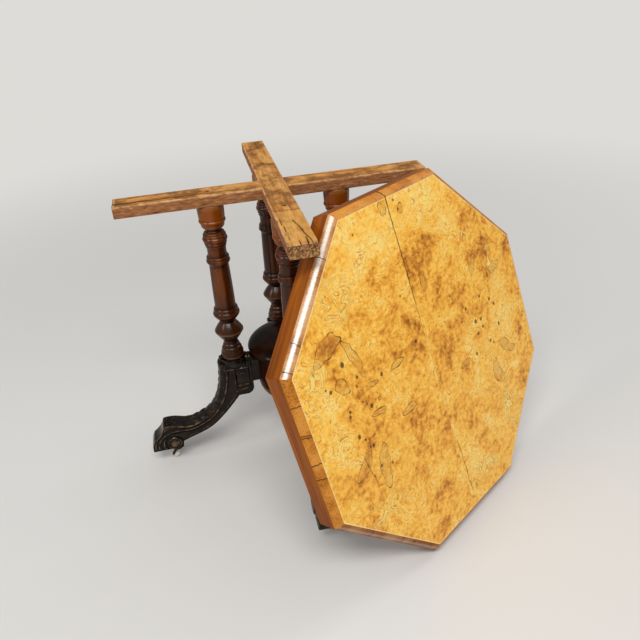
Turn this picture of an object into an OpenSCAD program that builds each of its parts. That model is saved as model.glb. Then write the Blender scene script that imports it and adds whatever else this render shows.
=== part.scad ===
// Octagonal centre table, taken apart as far as its top: the top stands on one side of its
// octagon and leans against the base. Millimetres, +Z up, the floor at Z = 0.
// The base is drawn round its own axis, with one bearer along X and the other along Y.

/* [Bearers] */
// Height of the bearers' upper faces above the floor
base_height = 690; // [650:5:740]
// Length of the bearer that runs from left to right
long_bearer_l = 648; // [644:2:700]
// Length of the bearer that crosses it
cross_bearer_l = 636; // [600:2:700]
// Width of both bearers
bearer_w = 53; // [48:1:60]
// Depth of both bearers
bearer_d = 25; // [22:1:32]
// Radius of the sunk holes over the columns
screw_sink_r = 4.5; // [4:0.5:6]

/* [Columns] */
// Distance from the table's axis to each column's axis
column_ring_r = 134; // [127:1:137]
// Radius of the drum at the head of a column
head_r = 28.2; // [25:0.2:30]
// Height of that drum down to its bead
head_h = 32; // [28:1:36]
// Radius of the ring under the neck
collar_r = 26.9; // [24:0.1:30]
// Radius of the shaft at its upper end
shaft_top_r = 21.5; // [18:0.5:23]
// Radius of the shaft at its lower end
shaft_foot_r = 23.4; // [20:0.2:25]
// Radius of the bulb below the shaft
bulb_r = 33; // [28:0.1:35]
// Radius of the flared foot
column_foot_r = 26.4; // [23:0.2:28]
// Radius of the round tenons at both ends
tenon_r = 11; // [9:0.5:13]
// Length of the tenon that enters the leg
foot_tenon_l = 26; // [20:1:34]

/* [Legs] */
// Thickness of a leg from side to side
leg_w = 42; // [40:1:46]
// Height of the top of the leg's block
block_top = 272; // [264:1:280]
// Height of the carved crown round the column's foot, above the block
crown_h = 12; // [8:1:16]
// Distance from the table's axis to the block's outer face
block_out = 174; // [170:1:178]
// Distance from the table's axis to the tip of the toe
toe_reach = 364; // [352:1:372]
// Height of the toe's flat underside, which the castor carries
toe_under = 47; // [45:1:52]
// Radius of the disc on each side of the toe
toe_disc_r = 18; // [15:0.5:20]
// Depth of the grooves and the sunk panel in a leg's sides
sunk_d = 1.6; // [1:0.2:3]

/* [Hub] */
// Radius of the hub's drum
hub_r = 80; // [76:1:86]
// Height of the drum's upper face
drum_top = 296; // [290:1:304]
// Height of the joint between the drum and the bowl below it
drum_foot = 197; // [190:1:204]
// Radius of the dome on the drum
dome_r = 97; // [92:0.5:98]
// Rise of the dome above the drum
dome_h = 32; // [26:1:44]
// Depth of the bowl below the drum
bowl_h = 54; // [44:1:60]
// Radius of the wooden dowels between the legs and the hub
dowel_r = 6; // [5:0.5:7]
// Length of a dowel
dowel_l = 44; // [36:2:50]

/* [Castors] */
// Radius of a castor's wheel
wheel_r = 14; // [12:0.5:15]
// Width of a castor's wheel
wheel_w = 12; // [10:0.5:14]
// Distance from the table's axis to a castor's swivel
swivel_ring_r = 304; // [300:1:308]
// Distance that the wheel trails its swivel
trail = 15; // [13:0.5:16]
// Radius of the castor's plate
plate_r = 13.5; // [13:0.5:15]
// Radius of the swivel's stud
stud_r = 3.5; // [3:0.25:4]
// Radius of the wheel's axle
axle_r = 2; // [1.5:0.25:2.5]
// How far each castor is turned from trailing outwards: left, front, right and back, in degrees
castor_turns = [-30, 20, -35, 40]; // [-180:5:180]

/* [Top] */
// Width of the top across its flat sides
across_flats = 734; // [700:2:760]
// Height of the frieze round the edge
frieze_h = 38.5; // [34:0.5:46]
// Thickness of the frieze
frieze_t = 20; // [17:0.5:24]
// Width of the moulded border, seen in plan
border_w = 14.2; // [11:0.2:18]
// Rise of the moulded border from the frieze to the field
border_rise = 14.4; // [11:0.2:17]
// Thickness of the veneer on the field
veneer_t = 1.6; // [1:0.2:2.4]
// Distance from the middle of the field to the joint of its two halves
joint_off = 12; // [6:1:20]
// Width of the open joint at the upper side of the octagon
joint_open = 1.6; // [1:0.2:3]
// Depth of the boards' tongue inside the frieze
tongue_h = 9; // [6:0.5:12]
// Lean of the top from the vertical, in degrees
lean = 20.8; // [17:0.2:24]
// Direction of the side that the top stands on, in degrees from X
foot_turn = 33.6; // [31:0.2:36]

/* [Hidden] */
// Clearances: wood laid on wood, a tenon or screw in its hole, and a running fit
fit_gap = 0.2;
hole_gap = 0.1;
run_gap = 0.06;
side_gap = 0.4;
$fn = 48;

QUARTERS = ["left", "front", "right", "back"];
QUARTER_TURN = [180, 270, 0, 90];
SIDES = [for (side = [1:8]) side];

// Where things lie on the base
bearer_under = base_height - bearer_d;
toe_l = 36;
toe_front = toe_reach - toe_l;
// Fasteners in the bearers: sunk heads and shanks
sink_depth = 7;
head_h_screw = 3;
screw_r = 2.2;
screw_l = 58;
top_tenon_l = 11;

// The castor, from the toe down
plate_t = 3;
stud_head_r = 5.5;
stud_head_h = 2.2;
horn_ring_r = 10;
horn_top = toe_under - plate_t - fit_gap;
horn_ring_h = 12;
stud_foot = horn_top - horn_ring_h - fit_gap;
cheek_t = 2.4;
cheek_r = 5.5;
cheek_in = wheel_w / 2 + side_gap;
plate_screw_ring = 9.6;
plate_screw_r = 1.3;
plate_screw_l = 14;

// The octagon of the top
apothem = across_flats / 2;
field_apothem = apothem - border_w;
board_w0 = frieze_h - tongue_h;
board_w1 = frieze_h + border_rise - veneer_t;
field_w = frieze_h + border_rise;
nose = 1.5;
border_swell = 1.8;
glue_block_l = 70;
glue_block_s = 16;
mitre_gap = 0.12;

// Points on a swell from p to q: its middle stands off the straight line by sag, to the left
function swell(p, q, sag, n) =
    [for (i = [0:n]) let (t = i / n, d = q - p)
        p + d * t + [-d[1], d[0]] / norm(d) * sag * sin(180 * t)];
// Points on a cubic curve with the two handles h and k
function bezier(p, h, k, q, n = 10) =
    [for (i = [0:n]) let (t = i / n, s = 1 - t)
        s * s * s * p + 3 * s * s * t * h + 3 * s * t * t * k + t * t * t * q];
// A path moved to the right of its direction, by d at its start and by e at its end
function beside(path, d, e) =
    let (last = len(path) - 1)
    [for (i = [0:last])
        let (a = path[max(i - 1, 0)], b = path[min(i + 1, last)], t = (b - a) / norm(b - a))
            path[i] + [t[1], -t[0]] * (d + (e - d) * i / last)];
function reversed(path) = [for (i = [len(path) - 1:-1:0]) path[i]];
// Corners of an octagon with one side at the bottom
function octagon(a) = [for (k = [0:7]) a / cos(22.5) * [cos(22.5 + 45 * k), sin(22.5 + 45 * k)]];

// On a base so tall that the top would pass under the bearers, it stands steeper, with its upper
// side at the bearers' lower arris.
stand_lean = min(lean, acos(min(1, bearer_under / across_flats)));
// The leaning top touches the near bearer with its left edge and the right bearer with its right
// edge, at the height of the bearers' lower arris. That fixes where its foot stands.
reach_v = bearer_under / cos(stand_lean);
corner_drop = max(0, across_flats - reach_v);
half_side = apothem * tan(22.5);
rest_u = half_side + corner_drop;
lean_run = reach_v * sin(stand_lean);
rest_gap = bearer_w / 2 + side_gap;
foot_x = rest_gap + cos(foot_turn) * rest_u + sin(foot_turn) * lean_run;
foot_y = -rest_gap - sin(foot_turn) * rest_u - cos(foot_turn) * lean_run;
// A point of the top's own frame, u right, v up from the middle and w out of the show face
function from_top(u, v, w) =
    let (up = v + apothem, back = up * sin(stand_lean) - w * cos(stand_lean),
        z = up * cos(stand_lean) + w * sin(stand_lean))
        [foot_x + u * cos(foot_turn) - back * sin(foot_turn),
         foot_y + u * sin(foot_turn) + back * cos(foot_turn), z];

// The origin is under the middle of the whole, on the floor
top_corners = [for (p = octagon(apothem), w = [0, frieze_h + nose]) from_top(p[0], p[1], w)];
xs = concat([for (p = top_corners) p[0]], [-toe_reach, toe_reach]);
ys = concat([for (p = top_corners) p[1]], [-toe_reach, toe_reach]);
middle_x = (max(xs) + min(xs)) / 2;
middle_y = (max(ys) + min(ys)) / 2;

module place() {
    translate([-middle_x, -middle_y, 0]) children();
}

module on_quarter(i) {
    place() rotate([0, 0, QUARTER_TURN[i]]) children();
}

module on_top() {
    place() translate([foot_x, foot_y, 0]) rotate([0, 0, foot_turn]) rotate([90 - stand_lean, 0, 0])
        translate([0, apothem, 0]) children();
}

// Two bearers, halved into each other so that their faces lie flush
module bearer_holes() {
    for (side = [-1, 1]) translate([side * column_ring_r, 0, 0]) {
        translate([0, 0, base_height - sink_depth]) cylinder(h = sink_depth + 1, r = screw_sink_r);
        translate([0, 0, bearer_under - 1]) cylinder(h = bearer_d, r = screw_r + hole_gap);
        translate([0, 0, bearer_under - 1])
            cylinder(h = top_tenon_l + 1 + fit_gap, r = tenon_r + hole_gap);
    }
}

module bearer(l, notch_z) {
    difference() {
        translate([-l / 2, -bearer_w / 2, bearer_under]) cube([l, bearer_w, bearer_d]);
        translate([-bearer_w / 2 - fit_gap, -bearer_w, notch_z])
            cube([bearer_w + 2 * fit_gap, 2 * bearer_w, bearer_d / 2 + fit_gap]);
        bearer_holes();
    }
}

module bearer_long() {
    color("#B07A45") place() bearer(long_bearer_l, bearer_under + bearer_d / 2);
}

module bearer_cross() {
    color("#BC8850") place() rotate([0, 0, 90])
        bearer(cross_bearer_l, bearer_under - fit_gap);
}

module bearer_screws() {
    color("#3A332C") for (i = [0:3]) on_quarter(i) translate([column_ring_r, 0, 0]) {
        translate([0, 0, base_height - sink_depth])
            cylinder(h = head_h_screw, r = screw_sink_r - hole_gap);
        translate([0, 0, base_height - sink_depth - screw_l]) cylinder(h = screw_l + 1, r = screw_r);
    }
}

// A turned column. Its upper members keep their distance from the bearer, its lower ones from
// the leg, and the shaft between them takes up a change of height.
foot_z = block_top + crown_h + fit_gap;
neck_r = 15.4;
lower_ring_r = 27.4;
waist_r = 16;
shaft_foot_h = 148;
ring_foot_h = 113;
bulb_foot_h = 59;
shaft_drop = 106;
column_profile = let (t = bearer_under, u = t - head_h, b = block_top, s = b + shaft_foot_h,
        k = b + ring_foot_h, f = b + bulb_foot_h, n = shaft_top_r) concat(
    [[0, t + top_tenon_l], [tenon_r, t + top_tenon_l], [tenon_r, t], [head_r - 1.4, t]],
    // Head drum, the bead it swells into and the round under it
    swell([head_r, t - 2], [head_r - 1, u], 0.3, 2),
    swell([head_r - 1.2, u - 1], [head_r - 1.5, u - 15], 1.3, 6),
    swell([head_r - 2.6, u - 16], [neck_r + 0.2, u - 26], 3.2, 6),
    // Neck, the hollow above the collar and the collar's bead with two steps below
    swell([neck_r, u - 28], [collar_r - 2.5, u - 38], -2.2, 5),
    swell([collar_r - 2.1, u - 39.5], [collar_r - 2.5, u - 52], 2.3, 6),
    swell([collar_r - 3.3, u - 53], [collar_r - 3.7, u - 59], 0.9, 3),
    swell([collar_r - 4.9, u - 60], [n - 0.3, u - 66], 0.6, 3),
    // Short drum and the double ring at the shaft's head
    swell([n - 0.9, u - 68], [n - 0.5, u - 86], -0.4, 4),
    swell([n + 1.7, u - 87], [n + 2.1, u - 92], 1.1, 4),
    swell([n + 2.3, u - 93], [n + 2.1, u - 103], 2.1, 6),
    // Shaft, fuller towards its foot
    swell([n - 0.3, u - shaft_drop], [shaft_foot_r, s], 0.4, 6),
    // Two rings below the shaft, the lower one cut away under its edge
    swell([shaft_foot_r + 2.2, s - 2], [lower_ring_r - 0.6, s - 10], 1.2, 4),
    swell([lower_ring_r + 0.4, s - 11], [lower_ring_r - 0.4, s - 24], 2.8, 7),
    swell([lower_ring_r - 1.8, s - 26], [waist_r + 0.6, k], 0.7, 4),
    swell([waist_r - 0.4, k - 2], [waist_r - 0.2, k - 3], 0, 1),
    // Bulb, sharp round its middle
    swell([waist_r, k - 4], [bulb_r - 1.2, k - 26], 1, 5),
    [[bulb_r, k - 28], [bulb_r - 0.2, k - 30]],
    swell([bulb_r - 1.8, k - 31.5], [waist_r + 0.6, f], 0.8, 6),
    // Beads below the bulb
    swell([waist_r + 0.2, f - 1], [waist_r, f - 5], 0.7, 3),
    swell([waist_r - 0.6, f - 6], [waist_r + 0.2, f - 9], 0, 1),
    swell([waist_r + 1.4, f - 10], [waist_r + 2, f - 17], 1.6, 4),
    // Flared foot
    swell([waist_r + 4.4, f - 18.5], [column_foot_r - 3, f - 28], 1.3, 4),
    swell([column_foot_r - 2.4, f - 29], [column_foot_r - 1.4, f - 38], 1.6, 5),
    swell([column_foot_r - 0.8, f - 39], [column_foot_r - 1.6, foot_z + 2], 0.8, 4),
    [[column_foot_r - 2.4, foot_z], [tenon_r, foot_z], [tenon_r, b - foot_tenon_l],
     [0, b - foot_tenon_l]]);

module column(i) {
    color("#6B3210") on_quarter(i) translate([column_ring_r, 0, 0]) difference() {
        rotate_extrude() polygon(column_profile);
        translate([0, 0, base_height - sink_depth - screw_l - 1])
            cylinder(h = screw_l + 2, r = screw_r + hole_gap);
    }
}

// A leg is drawn in the X-Z plane, X outwards from the table's axis. From the block its front
// falls to the ankle and rises a little to the toe, and the back runs from the ankle up again.
toe_disc_at = [swivel_ring_r + 5, toe_under + toe_disc_r];
ankle = [swivel_ring_r - 17, toe_under + 18];
shin_out = 46;
shin_drop = 139;
shin = [block_out + shin_out, block_top - shin_drop];
instep_l = 50;
instep_h = 66;
instep = [toe_front - instep_l, toe_under + instep_h];
calf_l = 78;
calf_h = 50;
calf = [ankle[0] - calf_l, toe_under + calf_h];
heel_in = 42;
heel_drop = 95;
block_heel = [block_out - heel_in, block_top - heel_drop];
leg_front = concat(
    bezier([block_out, block_top - 22], [block_out + 3, block_top - 72],
        [shin[0] - 29, shin[1] + 23], shin, 12),
    bezier(shin, [shin[0] + 24, shin[1] - 13], [instep[0] - 20, instep[1] - 4], instep, 8),
    bezier(instep, [instep[0] + 15, instep[1] + 4], [toe_front - 22, toe_under + 77],
        [toe_front, toe_under + 72.5], 7));
toe_line = concat(
    swell([toe_front + 1, toe_under + 71], [toe_front + 9, toe_under + 54], -0.5, 3),
    swell([toe_front + 10, toe_under + 52], [toe_reach - 8, toe_under + 36], -0.8, 5),
    swell([toe_reach - 7, toe_under + 34], [toe_reach, toe_under + 8], 2, 5),
    [[toe_reach - 1, toe_under]]);
leg_back = concat(
    bezier(ankle, [ankle[0] - 22, toe_under + 29], [calf[0] + 26, calf[1] - 17], calf, 8),
    bezier(calf, [calf[0] - 22, calf[1] + 15], [block_heel[0] + 29, block_heel[1] - 37], block_heel, 8));
// The block's lower inner corner is round. A neck, thinner than the block, runs from it to the hub.
neck_h = 65;
neck_foot = block_top - neck_h;
block_back = 39;
block_in = column_ring_r - block_back;
function leg_outline(inset) = concat(
    [[block_in, block_top], [block_out - 1 - inset, block_top], [block_out - inset, block_top - 3]],
    beside(leg_front, inset, 0), toe_line, [[ankle[0] + 2.5, toe_under]], leg_back,
    swell([block_in + 13, block_top - 95], [block_in, block_top - 80], 3, 4));
// At the block the leg's front is rounded in three steps, each [width, how far it stands back].
// The steps run out at the toe.
FRONT_STEPS = [[leg_w, 9], [leg_w - 9, 3.5], [leg_w - 22, 0]];
neck_w = leg_w - 8;
crown_r = column_foot_r + 5;
crown_profile = concat([[0, block_top - 22], [leg_w / 2 - 1, block_top - 22]],
    swell([leg_w / 2, block_top - 20], [crown_r - 1.5, block_top - 4], -1.4, 4),
    swell([crown_r - 0.5, block_top - 2], [crown_r - 1, block_top + crown_h], 1, 4),
    [[0, block_top + crown_h]]);

module extruded_leg(outline, w) {
    rotate([90, 0, 0]) linear_extrude(height = w, center = true) polygon(outline);
}

// A channel sunk into both sides of the leg. Its near and far edges run beside the path, each
// at one distance at the path's start and another at its end.
module side_channel(path, near, far) {
    band = concat(beside(path, near[0], near[1]), reversed(beside(path, far[0], far[1])));
    for (side = [-1, 1]) translate([0, side * (leg_w / 2 + 1 - sunk_d / 2), 0])
        extruded_leg(band, sunk_d + 2);
}

// A ring sunk into both sides round the toe's disc. Where it ends, it opens downwards.
module toe_ring(inner, outer, back) {
    for (side = [-1, 1]) translate([toe_disc_at[0], side * leg_w / 2, toe_disc_at[1]])
        rotate([90, 0, 0]) difference() {
            cylinder(h = 2 * sunk_d, r = outer, center = true);
            cylinder(h = 3 * sunk_d, r = inner, center = true);
            translate([-outer - back, 0, 0])
                cube([2 * outer, 2 * outer + 2, 3 * sunk_d], center = true);
        }
}

module sunk_panel(x0, x1, z0, z1) {
    for (side = [-1, 1]) translate([(x0 + x1) / 2, side * leg_w / 2, (z0 + z1) / 2])
        cube([x1 - x0, 2 * sunk_d, z1 - z0], center = true);
}

panel_in = block_in + 12;
panel_out = block_heel[0] + 2;
panel_top = block_top - 17;
back_line = concat([[block_heel[0] + 6, panel_top], [block_heel[0] + 6, block_top - 88]],
    reversed(leg_back));

module leg_blank() {
    difference() {
        union() {
            for (step = FRONT_STEPS) extruded_leg(leg_outline(step[1]), step[0]);
            translate([hub_r - 20, -neck_w / 2, neck_foot])
                cube([block_in - hub_r + 22, neck_w, block_top - neck_foot]);
            translate([column_ring_r, 0, 0]) rotate_extrude() polygon(crown_profile);
            translate([toe_disc_at[0], 0, toe_disc_at[1]]) rotate([90, 0, 0])
                cylinder(h = leg_w + 4, r = toe_disc_r, center = true);
        }
        for (side = [-1, 1]) translate([toe_disc_at[0], side * (leg_w / 2 + 2), toe_disc_at[1]])
            rotate([90, 0, 0]) difference() {
                cylinder(h = 2 * sunk_d, r = toe_disc_r - 3, center = true);
                cylinder(h = 3 * sunk_d, r = toe_disc_r - 6, center = true);
            }
        toe_ring(toe_disc_r + 3, toe_disc_r + 7, 8);
        toe_ring(toe_disc_r + 14, toe_disc_r + 17, 0);
        side_channel(leg_front, [19, 4], [25, 14]);
        side_channel(back_line, [-3, -9], [-1, -6]);
        sunk_panel(panel_in, panel_out, neck_foot + 2, panel_top - 15);
        sunk_panel(panel_in + 10, panel_out, block_top - 80, block_top - 77);
        translate([0, 0, toe_under - 50]) cube([2 * toe_reach, leg_w + 10, 100], center = true);
    }
}

dowel_heights = [block_top - 46, block_top - 16];

module dowels_at(r, l) {
    for (z = dowel_heights) translate([hub_r - 2 - l / 2, 0, z]) rotate([0, 90, 0])
        cylinder(h = l, r = r);
}

module leg(i) {
    color("#2A1A12") on_quarter(i) difference() {
        leg_blank();
        translate([0, 0, neck_foot - 1])
            cylinder(h = block_top - neck_foot + 2, r = hub_r + fit_gap, $fn = 96);
        translate([column_ring_r, 0, block_top - foot_tenon_l - 1])
            cylinder(h = foot_tenon_l + crown_h + 2, r = tenon_r + hole_gap);
        dowels_at(dowel_r + hole_gap, dowel_l + 2);
        castor_screw_holes(plate_screw_r + hole_gap);
    }
}

module leg_dowels() {
    color("#A87B4A") for (i = [0:3]) on_quarter(i) dowels_at(dowel_r, dowel_l);
}

// The hub: a drum between the legs, a dome on it and a bowl below. Dome and bowl have spigots.
hub_profile = concat([[hub_r + 3, drum_top]],
    swell([hub_r + 4, drum_top - 2], [hub_r + 2, drum_top - 8], 1.2, 4),
    [[hub_r, drum_top - 10], [hub_r, drum_foot + 1], [hub_r - 1, drum_foot]]);
spigot_r = 14;
spigot_l = 20;

module hub() {
    color("#2A1A12") place() difference() {
        rotate_extrude($fn = 96) polygon(concat([[0, drum_top]], hub_profile, [[0, drum_foot]]));
        translate([0, 0, drum_top - spigot_l - 1]) cylinder(h = spigot_l + 2, r = spigot_r + hole_gap);
        translate([0, 0, drum_foot - 1]) cylinder(h = spigot_l + 2, r = spigot_r + hole_gap);
        for (turn = QUARTER_TURN) rotate([0, 0, turn]) dowels_at(dowel_r + hole_gap, dowel_l + 2);
    }
}

dome_profile = concat(
    [[0, drum_top - spigot_l], [spigot_r, drum_top - spigot_l], [spigot_r, drum_top + fit_gap],
     [dome_r - 3, drum_top + fit_gap]],
    [for (i = [0:10]) let (a = 8 + 82 * i / 10)
        [dome_r * cos(a), drum_top - 6 + (dome_h + 6) * sin(a)]]);

module hub_dome() {
    color("#241711") place() rotate_extrude($fn = 96) polygon(dome_profile);
}

// The bowl ends in a small button
button_r = 15;
bowl_foot = drum_foot - bowl_h;
bowl_profile = concat(
    [[0, drum_foot + spigot_l - 1], [spigot_r, drum_foot + spigot_l - 1],
     [spigot_r, drum_foot - fit_gap], [hub_r - 1.5, drum_foot - fit_gap]],
    [for (i = [0:8]) let (a = 3 + 76 * i / 8)
        [(hub_r - 1) * cos(a), drum_foot - bowl_h * sin(a)]],
    swell([button_r - 3, bowl_foot + 1], [button_r - 3, bowl_foot - 9], 3, 6),
    [[0, bowl_foot - 12]]);

module hub_bowl() {
    color("#4A2413") place() rotate_extrude($fn = 96) polygon(bowl_profile);
}

// A castor's turning parts, drawn from its swivel's axis with the wheel trailing along X
module on_swivel(i) {
    on_quarter(i) translate([swivel_ring_r, 0, 0]) rotate([0, 0, castor_turns[i]]) children();
}

module castor_screw_holes(r) {
    for (turn = [0, 120, 240]) translate([swivel_ring_r, 0, 0]) rotate([0, 0, turn])
        translate([plate_screw_ring, 0, toe_under - plate_t - 1]) cylinder(h = plate_screw_l + 1, r = r);
}

module castor_plate(i) {
    color("#6E5226") on_quarter(i) difference() {
        translate([swivel_ring_r, 0, 0]) {
            translate([0, 0, toe_under - plate_t]) cylinder(h = plate_t, r = plate_r);
            translate([0, 0, stud_foot - stud_head_h]) cylinder(h = toe_under - stud_foot, r = stud_r);
            translate([0, 0, stud_foot - stud_head_h]) cylinder(h = stud_head_h, r = stud_head_r);
        }
        castor_screw_holes(plate_screw_r + hole_gap);
    }
}

module castor_screws() {
    color("#8C6B33") for (i = [0:3]) on_quarter(i) intersection() {
        castor_screw_holes(plate_screw_r);
        translate([swivel_ring_r, 0, toe_under - plate_t]) cylinder(h = plate_screw_l, r = plate_r);
    }
}

// One cheek of the horn: a web from the swivel's ring down to a round eye at the axle
module cheek() {
    web = [[-horn_ring_r + 1, horn_top], [horn_ring_r - 1, horn_top], [trail + cheek_r, wheel_r + 1],
        [trail - cheek_r, wheel_r - 1], [-horn_ring_r + 4, horn_top - horn_ring_h]];
    rotate([90, 0, 0]) {
        linear_extrude(height = cheek_t) polygon(web);
        translate([trail, wheel_r, 0]) cylinder(h = cheek_t, r = cheek_r);
    }
}

module castor_horn(i) {
    color("#4A3A20") on_swivel(i) difference() {
        union() {
            translate([0, 0, horn_top - horn_ring_h]) cylinder(h = horn_ring_h, r = horn_ring_r);
            translate([0, cheek_in + cheek_t, 0]) cheek();
            translate([0, -cheek_in, 0]) cheek();
        }
        translate([0, 0, horn_top - horn_ring_h - 1]) cylinder(h = horn_ring_h + 2, r = stud_r + run_gap);
        translate([trail, 0, wheel_r]) rotate([90, 0, 0])
            cylinder(h = 4 * cheek_in, r = axle_r + hole_gap / 2, center = true);
    }
}

module castor_axle(i) {
    color("#8C6B33") on_swivel(i) translate([trail, 0, wheel_r]) rotate([90, 0, 0]) {
        cylinder(h = 2 * (cheek_in + cheek_t), r = axle_r, center = true);
        for (side = [-1, 1]) translate([0, 0, side * (cheek_in + cheek_t + 0.6)])
            cylinder(h = 1.2, r = axle_r + 1, center = true);
    }
}

wheel_profile = concat([[axle_r + run_gap, -wheel_w / 2], [wheel_r - 3, -wheel_w / 2]],
    swell([wheel_r - 1.5, -wheel_w / 2 + 0.8], [wheel_r - 1.5, wheel_w / 2 - 0.8], -1.5, 8),
    [[wheel_r - 3, wheel_w / 2], [axle_r + run_gap, wheel_w / 2]]);

module castor_wheel(i) {
    color("#E4DFD0") on_swivel(i) translate([trail, 0, wheel_r]) rotate([90, 0, 0])
        rotate_extrude() polygon(wheel_profile);
}

// The top. Each half of the field ends at a joint that gapes at the upper side of the octagon.
joint_end = -75;
module half_field(a, side) {
    gape = joint_open / 2;
    closed = 0.05;
    intersection() {
        polygon(octagon(a));
        translate([-joint_off, 0]) polygon([[side * gape, a + 1], [side * closed, joint_end],
            [side * closed, -a - 1], [side * 2 * a, -a - 1], [side * 2 * a, a + 1]]);
    }
}

module top_board(side) {
    color("#9A6A3C") on_top() {
        translate([0, 0, frieze_h + fit_gap]) linear_extrude(height = board_w1 - frieze_h - fit_gap)
            half_field(field_apothem - fit_gap, side);
        translate([0, 0, board_w0]) linear_extrude(height = tongue_h + fit_gap)
            half_field(apothem - frieze_t - fit_gap, side);
    }
}

module veneer(side) {
    color("#D9A04A") on_top() translate([0, 0, board_w1]) linear_extrude(height = veneer_t)
        half_field(field_apothem - fit_gap, side);
}

// A slice of the octagon that belongs to one side, mitred at both ends. Side 1 is the upper one
// and the others follow to the right.
module on_side(s) {
    rotate([0, 0, -45 * (s - 1)]) children();
}

module mitred(inner, outer, w0, h) {
    t = tan(22.5);
    g = mitre_gap;
    translate([0, 0, w0]) linear_extrude(height = h)
        polygon([[-inner * t + g, inner], [inner * t - g, inner], [outer * t - g, outer],
            [-outer * t + g, outer]]);
}

module border(s) {
    section = concat([[field_apothem, frieze_h + fit_gap], [apothem, frieze_h + fit_gap]],
        swell([apothem, frieze_h + nose], [field_apothem, field_w], -border_swell, 6));
    color("#B87830") on_top() on_side(s) intersection() {
        rotate([90, 0, 90]) linear_extrude(height = across_flats, center = true) polygon(section);
        mitred(field_apothem - 1, apothem + 1, frieze_h - 1, border_rise + 5);
    }
}

module frieze(s) {
    color("#A0561E") on_top() on_side(s) mitred(apothem - frieze_t, apothem, 0, frieze_h);
}

module glue_blocks() {
    color("#A87B4A") on_top() for (s = [1:8]) on_side(s)
        translate([0, apothem - frieze_t - fit_gap, board_w0 - fit_gap]) rotate([0, 90, 0])
            linear_extrude(height = glue_block_l, center = true)
                polygon([[0, 0], [glue_block_s, 0], [0, -glue_block_s]]);
}

bearer_long();
bearer_cross();
bearer_screws();
for (i = [0:3]) {
    q = QUARTERS[i];
    column(i);
    leg(i);
    castor_plate(i);
    castor_horn(i);
    castor_axle(i);
    castor_wheel(i);
}
leg_dowels();
hub();
hub_dome();
hub_bowl();
castor_screws();
top_board(-1);  // top_board_left
top_board(1);  // top_board_right
veneer(-1);  // veneer_left
veneer(1);  // veneer_right
for (s = SIDES) {
    border(s);
    frieze(s);
}
glue_blocks();
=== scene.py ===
import math

import bpy
import numpy as np
from mathutils import Matrix


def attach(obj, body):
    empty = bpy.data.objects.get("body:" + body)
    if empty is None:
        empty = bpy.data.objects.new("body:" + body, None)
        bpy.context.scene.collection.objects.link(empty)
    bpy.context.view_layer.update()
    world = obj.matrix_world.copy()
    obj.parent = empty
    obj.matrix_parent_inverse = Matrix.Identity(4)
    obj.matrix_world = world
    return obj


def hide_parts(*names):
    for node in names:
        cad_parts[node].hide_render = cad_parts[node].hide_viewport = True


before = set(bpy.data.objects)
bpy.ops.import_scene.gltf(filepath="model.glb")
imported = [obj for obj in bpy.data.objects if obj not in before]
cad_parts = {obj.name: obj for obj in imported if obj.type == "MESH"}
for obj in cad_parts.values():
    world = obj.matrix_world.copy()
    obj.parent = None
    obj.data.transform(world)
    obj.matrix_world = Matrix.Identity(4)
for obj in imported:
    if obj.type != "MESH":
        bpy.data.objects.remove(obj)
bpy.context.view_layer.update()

# The table in millimetres, as it was measured. The base is drawn round its own axis and the top in
# a frame of its own: u to the right, v up from the middle and w out of the show face.
BASE_AXIS = np.array([-116.146, 70.3046])
BASE_HEIGHT, BEARER_D, BEARER_W = 690.0, 25.0, 53.0
LONG_BEARER, CROSS_BEARER = 648.0, 636.0
COLUMN_RING = 134.0
SCREW_HOLE_R, SCREW_HOLE_DEPTH = 4.6, 6.8
BLOCK_TOP, BLOCK_IN, LEG_W = 272.0, 95.0, 42.0
TOE_UNDER, TOE_REACH = 47.0, 364.0
TOE_DISC = np.array([309.0, 65.0])
TOE_DISC_R = 18.0
HUB_R, DRUM_TOP, DRUM_FOOT, DOME_R, DOME_H, BOWL_H = 80.0, 296.0, 197.0, 97.0, 32.0, 54.0
SWIVEL_RING, TRAIL, WHEEL_R, WHEEL_W = 304.0, 15.0, 14.0, 12.0
APOTHEM, FRIEZE_H, FRIEZE_T = 367.0, 38.5, 20.0
FIELD_APOTHEM, FIELD_W, VENEER_T = 352.8, 52.9, 1.6
JOINT_AT, JOINT_OPEN, JOINT_END = -12.0, 1.6, -75.0
LEAN, FOOT_TURN = math.radians(20.8), math.radians(33.6)
FOOT = np.array([196.019, -263.651])
MITRE = math.tan(math.radians(22.5))
QUARTERS = {"left": 180, "front": 270, "right": 0, "back": 90}
CASTOR_TURNS = {"left": -30, "front": 20, "right": -35, "back": 40}
# Millimetres to metres, and the small radius that stands for the axis in a turned profile
METRE, AXIS = 0.001, 0.4


def cos_sin(degrees):
    """The cosine and the sine of an angle in degrees."""
    return math.cos(math.radians(degrees)), math.sin(math.radians(degrees))


def circle(n):
    """n angles round a circle, as a row."""
    return np.linspace(0, 2 * math.pi, n, endpoint=False)[None]


def together(*parts):
    """Arrays and numbers, each stretched to the shape of all, as one array of points."""
    return np.stack(np.broadcast_arrays(*parts), -1)


def from_base(x, y, z, turn):
    """Millimetres round the base's axis, turned about it by some degrees, to metres in the room."""
    c, s = cos_sin(turn)
    return together(x * c - y * s + BASE_AXIS[0], x * s + y * c + BASE_AXIS[1], z) * METRE


def from_top(u, v, w):
    """Millimetres in the top's frame to metres in the room: v climbs along the lean and w stands
    square to it, and both are turned about the top's foot."""
    up = v + APOTHEM
    back = up * math.sin(LEAN) - w * math.cos(LEAN)
    high = up * math.cos(LEAN) + w * math.sin(LEAN)
    c, s = math.cos(FOOT_TURN), math.sin(FOOT_TURN)
    return together(FOOT[0] + u * c - back * s, FOOT[1] + u * s + back * c, high) * METRE


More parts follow.
